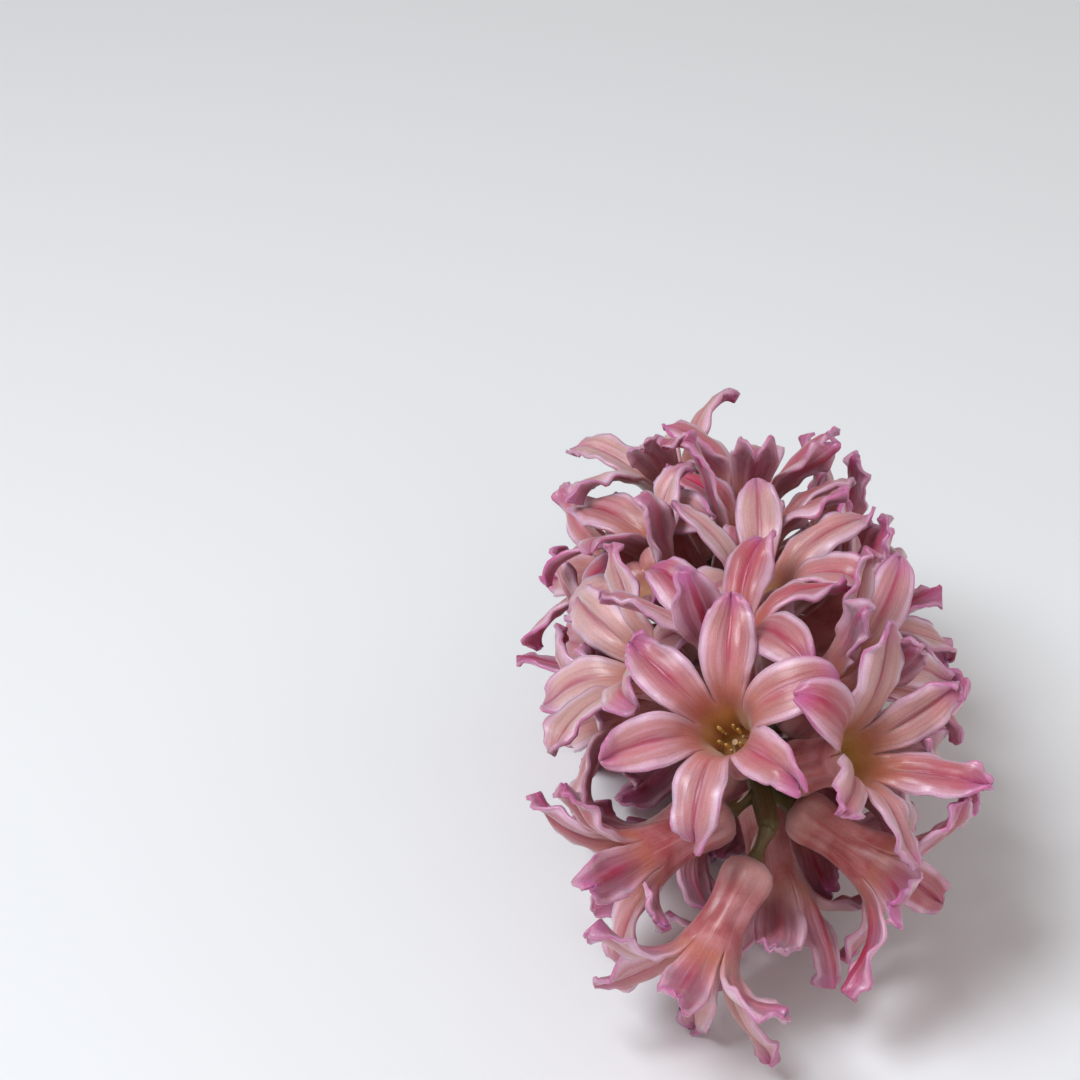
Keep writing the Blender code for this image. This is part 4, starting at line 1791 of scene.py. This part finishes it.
@dataclass
class Crowd:
    """All the fine florets, each tepal's creases flattened where it would cross another."""

    maker: FineFloret
    places: Sequence[Place]
    shapes: Sequence[Sequence[Tepal]]
    finish: Material
    flesh: NodeTree = field(default_factory=flesh_growth)
    unevenness: float = 0.00042
    grain: float = 330.0
    rib_height: float = 0.00003
    rib_count: float = 24.0
    flattening: float = 0.55
    passes: int = 4
    joined_share: float = 0.3

    def grown(self, index: int, ease: np.ndarray) -> Object:
        """Makes one floret and grows its flesh.

        Args:
            index: Which floret it is.
            ease: How much of its creases each tepal keeps.

        Returns:
            The finished floret.
        """
        name = f"floret_{index + 1:02d}_flesh"
        piece = self.maker.build(name, self.places[index], self.shapes[index], index, ease)
        return grow(
            piece, self.flesh, Unevenness=self.unevenness, Grain=self.grain,
            Rib_Height=self.rib_height, Rib_Count=self.rib_count, Finish=self.finish,
        )

    def search_tree(self, piece: Object) -> BVHTree:
        """Builds a search tree of a floret's surface."""
        return BVHTree.FromPolygons(points_of(piece).tolist(), self.maker.weave.face_list)

    def meetings(self, trees: Sequence[BVHTree], changed: set[int]) -> set[tuple[int, int]]:
        """Finds the tepals that cross another tepal or a tube.

        The bases of one floret's own tepals may overlap, as they do on a real one.

        Args:
            trees: The search tree of each floret.
            changed: The florets to look at.

        Returns:
            The number of the floret and of the tepal, for each such tepal.
        """
        owner, met = self.maker.weave.owner, set()
        free = self.maker.weave.height > self.joined_share
        for i, j in itertools.product(sorted(changed), range(len(trees))):
            pairs = np.array(trees[i].overlap(trees[j]))
            if not len(pairs):
                continue
            mine, other = owner[pairs[:, 0]], owner[pairs[:, 1]]
            if i == j:
                apart = (mine != other) & free[pairs[:, 0]] & free[pairs[:, 1]]
                mine, other = mine[apart], other[apart]
            met |= {(i, int(tepal)) for tepal in mine if tepal >= 0}
            met |= {(j, int(tepal)) for tepal in other if tepal >= 0}
        return met

    def build(self) -> list[Object]:
        """Makes every floret, and flattens the creases of tepals until none cross.

        Returns:
            The florets.
        """
        ease = np.ones((len(self.places), TEPALS))
        pieces = [self.grown(index, ease[index]) for index in range(len(self.places))]
        trees = [self.search_tree(piece) for piece in pieces]
        changed = set(range(len(pieces)))
        for _ in range(self.passes):
            met = self.meetings(trees, changed)
            log.info("%d tepals cross another", len(met))
            if not met:
                break
            changed = {index for index, _ in met}
            for key in met:
                ease[key] *= self.flattening
            for index in sorted(changed):
                bpy.data.meshes.remove(pieces[index].data)
                pieces[index] = self.grown(index, ease[index])
                trees[index] = self.search_tree(pieces[index])
        return pieces


@dataclass
class Stalks:
    """The stem and its pedicels as the paths that their growth follows."""

    spine: Spine
    stem_points: int = 90
    tip_round: float = 0.012
    tip_points: int = 8
    pedicel_points: int = 16
    sunk: float = 0.0011
    elbow: float = 0.0009
    sway: float = 0.0003
    pedicel_girth: float = 0.00105
    seat_girth: float = 0.0016
    foot_swell: float = 0.5
    foot_round: float = 0.12
    seat_depth: float = 0.0002
    stem_growth: tuple[int, float, float] = (40, 0.0003, 260.0)
    pedicel_growth: tuple[int, float, float] = (16, 0.00012, 600.0)

    def stem(self, shift: np.ndarray) -> Object:
        """Makes the stem's path, which ends in a rounded tip.

        Args:
            shift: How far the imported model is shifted.

        Returns:
            The object.
        """
        turn = np.linspace(0, math.pi / 2, self.tip_points)[1:-1]
        body = np.linspace(0, 1 - self.tip_round, self.stem_points)
        share = np.concatenate([body, 1 - self.tip_round + self.tip_round * np.sin(turn)])
        path = np.array([self.spine.point(u) for u in share]) + shift
        girth = np.array([self.spine.radius(u) for u in share])
        girth[len(body):] *= np.cos(turn)
        edges = path_edges(0, len(share))
        return piece_of("stem_skin", path, edges=edges, girth=girth, run=share, core=path)

    def pedicels(self, places: Sequence[Place], shift: np.ndarray) -> Object:
        """Makes the pedicels' paths, which bend out of the stem towards their florets.

        Args:
            places: The places of the florets and the bud.
            shift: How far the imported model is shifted.

        Returns:
            The object.
        """
        share = np.linspace(0, 1, self.pedicel_points)
        foot = 1 + self.foot_swell * (1 - eased(share, 0.0, 0.7))
        foot *= np.sqrt(np.clip(share / self.foot_round, 0.02, 1))
        seat = (self.seat_girth - self.pedicel_girth) * eased(share, 0.7, 1.0)
        t = share[:, None]
        paths, girths, edges = [], [], []
        for place in places:
            along = self.spine.direction(-place.root[1] / self.spine.length)
            inner = place.root - along * self.sunk
            elbow = place.root + place.axes[2] * self.elbow
            outer = place.root + place.axes[2] * (place.reach + self.seat_depth)
            line = (1 - t) ** 2 * inner + 2 * t * (1 - t) * elbow + t**2 * outer
            line = line + place.axes[0] * self.sway * np.sin(t * math.pi)
            edges += path_edges(len(paths) * len(share), len(share))
            paths.append(line + shift)
            girths.append(self.pedicel_girth * foot + seat)
        run = np.ones(len(paths) * len(share))
        cloud, girth = np.concatenate(paths), np.concatenate(girths)
        return piece_of("pedicels", cloud, edges=edges, girth=girth, run=run, core=cloud)


@dataclass
class SmallParts:
    """The parts that repeat in every floret: stamens, pistil and bract."""

    anther_length: float = 0.0026
    anther_width: float = 0.0009
    anther_level: float = 0.60
    anther_ring: float = 0.0017
    anther_turn_jitter: float = 0.1
    anther_step: float = 0.07
    anther_level_jitter: float = 0.02
    anther_lean: float = 0.25
    anther_sizes: Pair = (0.85, 1.1)
    filament_ring: float = 0.0031
    filament_level: float = 0.42
    filament_overlap: float = 0.02
    filament_girth: float = 0.00022
    filament_points: int = 5
    filament_sides: int = 6
    pistil_level: float = 0.29
    pistil_rise: float = 0.26
    pistil_girths: Row = (0.0011, 0.0009, 0.00045, 0.0004, 0.00055)
    anther_source: int = 5000
    anther_sides: int = 8
    anther_stations: Row = (0.0, 0.12, 0.35, 0.65, 0.88, 1.0)
    anther_swell: Row = (0.25, 0.8, 1.0, 1.0, 0.8, 0.25)
    anther_furrow: float = 0.3
    anther_flatness: float = 0.7
    bract_length: float = 0.0032
    bract_width: float = 0.0015
    bract_aside: float = 0.0012
    bract_wall: float = 0.00018
    bract_sunk: float = 0.9
    bract_stations: Row = (0.0, 0.3, 0.6, 0.85, 1.0)
    bract_outline: Row = (0.6, 1.0, 0.8, 0.4, 0.05)
    bract_columns: int = 5
    bract_hood: float = 0.25
    bract_fold: float = 0.35
    bract_aim: Pair = (0.55, 0.8)
    bract_facing: float = 0.6

    def anther(self) -> Object:
        """Makes one anther: two long pollen sacs with a furrow between them.

        Returns:
            The object.
        """
        turn = np.arange(self.anther_sides) / self.anther_sides * 2 * np.pi
        levels, swell = np.array(self.anther_stations), np.array(self.anther_swell)
        pinch = 1 - self.anther_furrow * np.abs(np.sin(turn)) ** 4
        width = swell[:, None] * pinch * self.anther_width / 2
        height = np.broadcast_to(levels[:, None] * self.anther_length, width.shape)
        flat = self.anther_flatness * width * np.cos(turn)
        rings = np.stack([flat, width * np.sin(turn), height], -1)
        faces = ring_faces(len(levels), self.anther_sides)
        return piece_of("anther_item", rings.reshape(-1, 3), faces)

    def bract(self) -> Object:
        """Makes one bract: a small hooded scale.

        Returns:
            The object.
        """
        levels = np.array(self.bract_stations)
        half = np.array(self.bract_outline) * self.bract_width / 2
        across = np.linspace(-1, 1, self.bract_columns)
        y = half[:, None] * across
        hood = self.bract_hood * self.bract_length * levels[:, None] ** 2
        x = hood - self.bract_fold * half[:, None] * across**2
        z = np.broadcast_to(levels[:, None] * self.bract_length, y.shape)
        front = np.stack([x, y, z], -1).reshape(-1, 3)
        cloud = np.concatenate([front, front + (self.bract_wall, 0, 0)])
        grid = np.arange(len(front)).reshape(len(levels), -1).tolist()
        faces = thickened(np.array(grid_faces(grid)), len(front))
        return piece_of("bract_item", cloud, faces[:, ::-1])

    def anther_seats(self, places: Sequence[Place], shift: np.ndarray) -> Object:
        """Makes the points on which the anthers stand, six to a throat.

        Args:
            places: The places of the florets.
            shift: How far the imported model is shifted.

        Returns:
            The object.
        """
        spots, aims, facings, sizes = [], [], [], []
        for index, place in enumerate(places):
            rng = np.random.default_rng((SEED, self.anther_source + index))
            for number in range(TEPALS):
                jitter = rng.uniform(-self.anther_turn_jitter, self.anther_turn_jitter)
                turn = math.radians(360 / TEPALS * (number + 0.5)) + jitter
                out = np.array([math.cos(turn), math.sin(turn), 0])
                level = self.anther_level + (self.anther_step if number % 2 else 0)
                level += rng.uniform(-self.anther_level_jitter, self.anther_level_jitter)
                base = out * self.anther_ring + (0, 0, level * TUBE.length)
                spots.append(place.to_world(base)[0][0] + shift)
                aims.append((out * rng.uniform(0, self.anther_lean) + (0, 0, 1)) @ place.axes)
                facings.append(out @ place.axes)
                sizes.append(rng.uniform(*self.anther_sizes))
        return piece_of(
            "anthers", np.array(spots), aim=unit(np.array(aims)),
            facing=unit(np.array(facings)), size=np.array(sizes),
        )

    def filament_paths(self, places: Sequence[Place], shift: np.ndarray) -> Object:
        """Makes the paths of filaments from the tube's wall, and of each pistil's style.

        Args:
            places: The places of the florets.
            shift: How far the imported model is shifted.

        Returns:
            The object.
        """
        share = np.linspace(0, 1, self.filament_points)
        cloud, edges, girth = [], [], []
        for place in places:
            for number in range(TEPALS + 1):
                turn = math.radians(360 / TEPALS * (number + 0.5))
                out = np.array([math.cos(turn), math.sin(turn), 0])
                ring = self.filament_ring + (self.anther_ring - self.filament_ring) * share
                rise = self.anther_level + self.filament_overlap - self.filament_level
                level = self.filament_level + rise * share
                thick = np.full(len(share), self.filament_girth)
                if number == TEPALS:
                    ring, level = 0 * share, self.pistil_level + self.pistil_rise * share
                    thick = np.array(self.pistil_girths)
                line = out * ring[:, None] + np.outer(level * TUBE.length, (0, 0, 1))
                edges += path_edges(len(cloud) * len(share), len(share))
                cloud.append(place.to_world(line)[0] + shift)
                girth.append(thick)
        path = np.concatenate(cloud)
        return piece_of("filaments", path, edges=edges, girth=np.concatenate(girth))

    def bract_seats(self, places: Sequence[Place], spine: Spine, shift: np.ndarray) -> Object:
        """Makes the points on which the bracts stand, one below each pedicel's foot.

        Args:
            places: The places of the florets and the bud.
            spine: The stem's axis.
            shift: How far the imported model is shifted.

        Returns:
            The object.
        """
        outwards, forwards = self.bract_aim
        spots, aims, facings = [], [], []
        for place in places:
            u = -place.root[1] / spine.length
            along = spine.direction(u)
            outward = unit(place.axes[2] - np.dot(place.axes[2], along) * along)
            aside = np.cross(outward, along) * self.bract_aside
            spots.append(place.root + outward * spine.radius(u) * self.bract_sunk + aside + shift)
            aims.append(unit(outwards * outward + forwards * along))
            facings.append(unit(outward - self.bract_facing * along))
        return piece_of(
            "bracts", np.array(spots), aim=np.array(aims),
            facing=np.array(facings), size=np.full(len(spots), 1.0),
        )


@dataclass
class FineBud:
    """The bud that never opened, with six shut tepals."""

    rings: int = 28
    columns: int = 60
    knots: Row = (0.0, 0.06, 0.14, 0.40, 0.68, 0.90, 0.97, 1.0)
    radii: Row = (0.0012, 0.0021, 0.0026, 0.0031, 0.0026, 0.0016, 0.0010, 0.0004)
    seam_power: float = 0.6
    seam_radius: float = 0.90
    seam_swell: float = 0.12

    def build(self, place: Place, shift: np.ndarray) -> Object:
        """Makes the bud with its values along and across.

        Args:
            place: The bud's place.
            shift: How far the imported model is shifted.

        Returns:
            The object.
        """
        levels = np.linspace(0, 1, self.rings)
        turn = np.arange(self.columns) / self.columns * 2 * np.pi
        seam = np.abs(np.sin(TEPALS / 2 * turn)) ** self.seam_power
        lobes = self.seam_radius + self.seam_swell * seam
        radius = np.interp(levels, self.knots, self.radii)[:, None] * lobes
        height = np.broadcast_to(levels[:, None] * BUD.length, radius.shape)
        rings = np.stack([radius * np.cos(turn), radius * np.sin(turn), height], -1)
        cloud = place.to_world(rings)[0] + shift
        faces = ring_faces(self.rings, self.columns)
        across = np.tile(1 - seam, self.rings)
        return piece_of(
            "bud_flesh", cloud, faces, along=np.repeat(levels, self.columns), across=across
        )


@dataclass(frozen=True)
class Lamp:
    """A soft square lamp."""

    name: str
    at: Point
    side: float
    power: float
    colour: Colour

    def hang(self, aim: Vector) -> None:
        """Hangs the lamp so that it faces a point.

        Args:
            aim: The point.
        """
        light = bpy.data.lights.new(self.name, "AREA")
        light.size, light.energy, light.color = self.side, self.power, self.colour
        made = bpy.data.objects.new(self.name, light)
        made.location = self.at
        made.rotation_mode = "QUATERNION"
        made.rotation_quaternion = (aim - Vector(self.at)).to_track_quat("-Z", "Y")
        bpy.context.scene.collection.objects.link(made)


@dataclass
class Studio:
    """The pale table, the soft lights and the camera."""

    lens: float = 105
    sensor: float = 36
    distance: float = 0.52
    elevation: float = 34
    tip_pixel: Pair = (770, 832)
    table_side: float = 8.0
    table_drop: float = 0.0001
    sky: Colour = (1.0, 0.96, 0.94)
    sky_strength: float = 0.32
    lit_point: Point = (0, -0.02, 0.03)
    clip_start: float = 0.01
    lamps: tuple[Lamp, ...] = (
        Lamp("key", (-0.40, -0.25, 0.80), 0.40, 6.5, (0.88, 0.94, 1.0)),
        Lamp("side", (0.85, 0.15, 0.45), 0.6, 1.2, (1.0, 0.97, 0.95)),
        Lamp("front", (0.35, -0.85, 0.40), 0.6, 1.2, (0.92, 0.95, 1.0)),
    )

    def table(self) -> Object:
        """Makes the table top.

        Returns:
            The object.
        """
        half = self.table_side / 2
        corners = [(-half, -half), (half, -half), (half, half), (-half, half)]
        points = np.array([(x, y, -self.table_drop) for x, y in corners])
        top = piece_of("table", points, [(0, 1, 2, 3)])
        top.data.materials.append(TableFinish().build())
        return top

    def light(self) -> None:
        """Lights the table as a bright overcast day does."""
        world = bpy.data.worlds.new("overcast")
        world.use_nodes = True
        sky = world.node_tree.nodes["Background"].inputs
        sky["Color"].default_value = (*self.sky, 1)
        sky["Strength"].default_value = self.sky_strength
        bpy.context.scene.world = world
        bpy.context.scene.view_settings.view_transform = "Standard"
        for lamp in self.lamps:
            lamp.hang(Vector(self.lit_point))

    def camera(self, tip: np.ndarray) -> None:
        """Sets the camera so that the stem's tip falls on its pixel.

        Args:
            tip: Where the stem's tip is.
        """
        lens = bpy.data.cameras.new("camera")
        lens.lens, lens.sensor_width, lens.clip_start = self.lens, self.sensor, self.clip_start
        made = bpy.data.objects.new("camera", lens)
        bpy.context.scene.collection.objects.link(made)
        tilt = math.radians(self.elevation)
        back = Vector((0, -math.cos(tilt), math.sin(tilt)))
        turn = (-back).to_track_quat("-Z", "Y")
        right, up = turn @ Vector((1, 0, 0)), turn @ Vector((0, 1, 0))
        half = self.sensor / 2 / self.lens * self.distance
        aside = (self.tip_pixel[0] / IMAGE_SIDE * 2 - 1) * half
        above = (1 - self.tip_pixel[1] / IMAGE_SIDE * 2) * half
        made.rotation_mode = "QUATERNION"
        made.rotation_quaternion = turn
        made.location = Vector(tip) + back * self.distance - right * aside - up * above
        bpy.context.scene.camera = made


@dataclass
class Spike:
    """The whole hyacinth spike."""

    raceme: Raceme = field(default_factory=Raceme)
    rule: TepalRule = field(default_factory=TepalRule)
    fine_base_span: float = 0.96
    pedicel_sides: int = 5
    pedicel_girth: float = 0.00105
    pedicel_gap: float = 0.0003

    def __post_init__(self) -> None:
        """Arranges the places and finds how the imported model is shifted."""
        self.places, self.bud_place = self.raceme.arrange()
        self.bud = BUD.solid(self.bud_place)
        self.shift = np.array(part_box("bud")[0]) - self.bud[0].min(0)
        self.low, self.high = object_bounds()

    def pedicel_solid(self, place: Place) -> Solid:
        """Makes the plain pedicel that the tepals keep clear of.

        Args:
            place: The floret's place.

        Returns:
            The closed solid.
        """
        turn = np.arange(self.pedicel_sides) / self.pedicel_sides * 2 * np.pi
        circle = np.outer(np.cos(turn), place.axes[0]) + np.outer(np.sin(turn), place.axes[1])
        foot = place.root + circle * self.pedicel_girth
        end = place.axes[2] * (place.reach - WALL / 2 - self.pedicel_gap)
        return np.concatenate([foot, foot + end]), ring_faces(2, self.pedicel_sides)

    def keep(self, piece: Object, node: str = "") -> None:
        """Holds a piece inside the model's box, gives it its body and hides the node that it replaces, if
        any.

        Args:
            piece: The piece.
            node: The node that it replaces, if it replaces one.
        """
        hold_inside(piece, self.low, self.high)
        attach(piece, "root")
        if node:
            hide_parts(node)
        log.info("%s: %d faces", piece.name, len(piece.data.polygons))

    def florets(self) -> None:
        """Grows every floret in place of its node."""
        stalks = [self.raceme.spine.solid(), self.bud]
        stalks += [self.pedicel_solid(place) for place in self.places + [self.bud_place]]
        shapes = Clearance(self.rule, self.places, stalks).solve()
        maker = FineFloret(FloretWeave(), replace(self.rule, base_span=self.fine_base_span))
        moved = [replace(place, root=place.root + self.shift) for place in self.places]
        crowd = Crowd(maker, moved, shapes, PetalFinish().build())
        for index, piece in enumerate(crowd.build()):
            node = f"floret_{index + 1:02d}"
            self.keep(piece, node)
            low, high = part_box(node)
            cloud = points_of(piece)
            gap = max(np.abs(cloud.min(0) - low).max(), np.abs(cloud.max(0) - high).max())
            log.info("%s stands within %.1f mm of its node's box", node, gap * 1000)

    def greens(self) -> None:
        """Grows the stem, the pedicels and the bud."""
        stalks, skin, path = Stalks(self.raceme.spine), StalkFinish().build(), path_growth()
        stem = stalks.stem(self.shift)
        sides, unevenness, grain = stalks.stem_growth
        grow(stem, path, Sides=sides, Unevenness=unevenness, Grain=grain, Finish=skin)
        self.keep(stem, "stem")
        pedicels = stalks.pedicels(self.places + [self.bud_place], self.shift)
        sides, unevenness, grain = stalks.pedicel_growth
        grow(pedicels, path, Sides=sides, Unevenness=unevenness, Grain=grain, Finish=skin)
        self.keep(pedicels)
        bud = FineBud().build(self.bud_place, self.shift)
        bud.data.shade_smooth()
        bud.data.materials.append(BudFinish().build())
        self.keep(bud, "bud")

    def small_parts(self) -> None:
        """Strews the anthers, filaments, pistils and bracts."""
        parts, strewn = SmallParts(), strewn_growth()
        pollen, thread, scale = (finish.build() for finish in (POLLEN, FILAMENT, BRACT))
        anther, bract = parts.anther(), parts.bract()
        anthers = parts.anther_seats(self.places, self.shift)
        grow(anthers, strewn, Item=anther, Finish=pollen)
        self.keep(anthers)
        threads = parts.filament_paths(self.places, self.shift)
        grow(
            threads, path_growth(),
            Sides=parts.filament_sides, Unevenness=0.0, Grain=1.0, Finish=thread,
        )
        self.keep(threads)
        everywhere = self.places + [self.bud_place]
        bracts = parts.bract_seats(everywhere, self.raceme.spine, self.shift)
        grow(bracts, strewn, Item=bract, Finish=scale)
        self.keep(bracts)
        for item in (anther, bract):
            bpy.data.objects.remove(item)


def main() -> None:
    """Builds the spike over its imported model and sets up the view."""
    logging.basicConfig(level=logging.INFO, format="%(message)s")
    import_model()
    spike = Spike()
    spike.greens()
    spike.florets()
    spike.small_parts()
    studio = Studio()
    studio.table()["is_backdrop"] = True
    studio.light()
    studio.camera(spike.raceme.spine.point(1.0) + spike.shift)


if __name__ == "__main__":
    main()
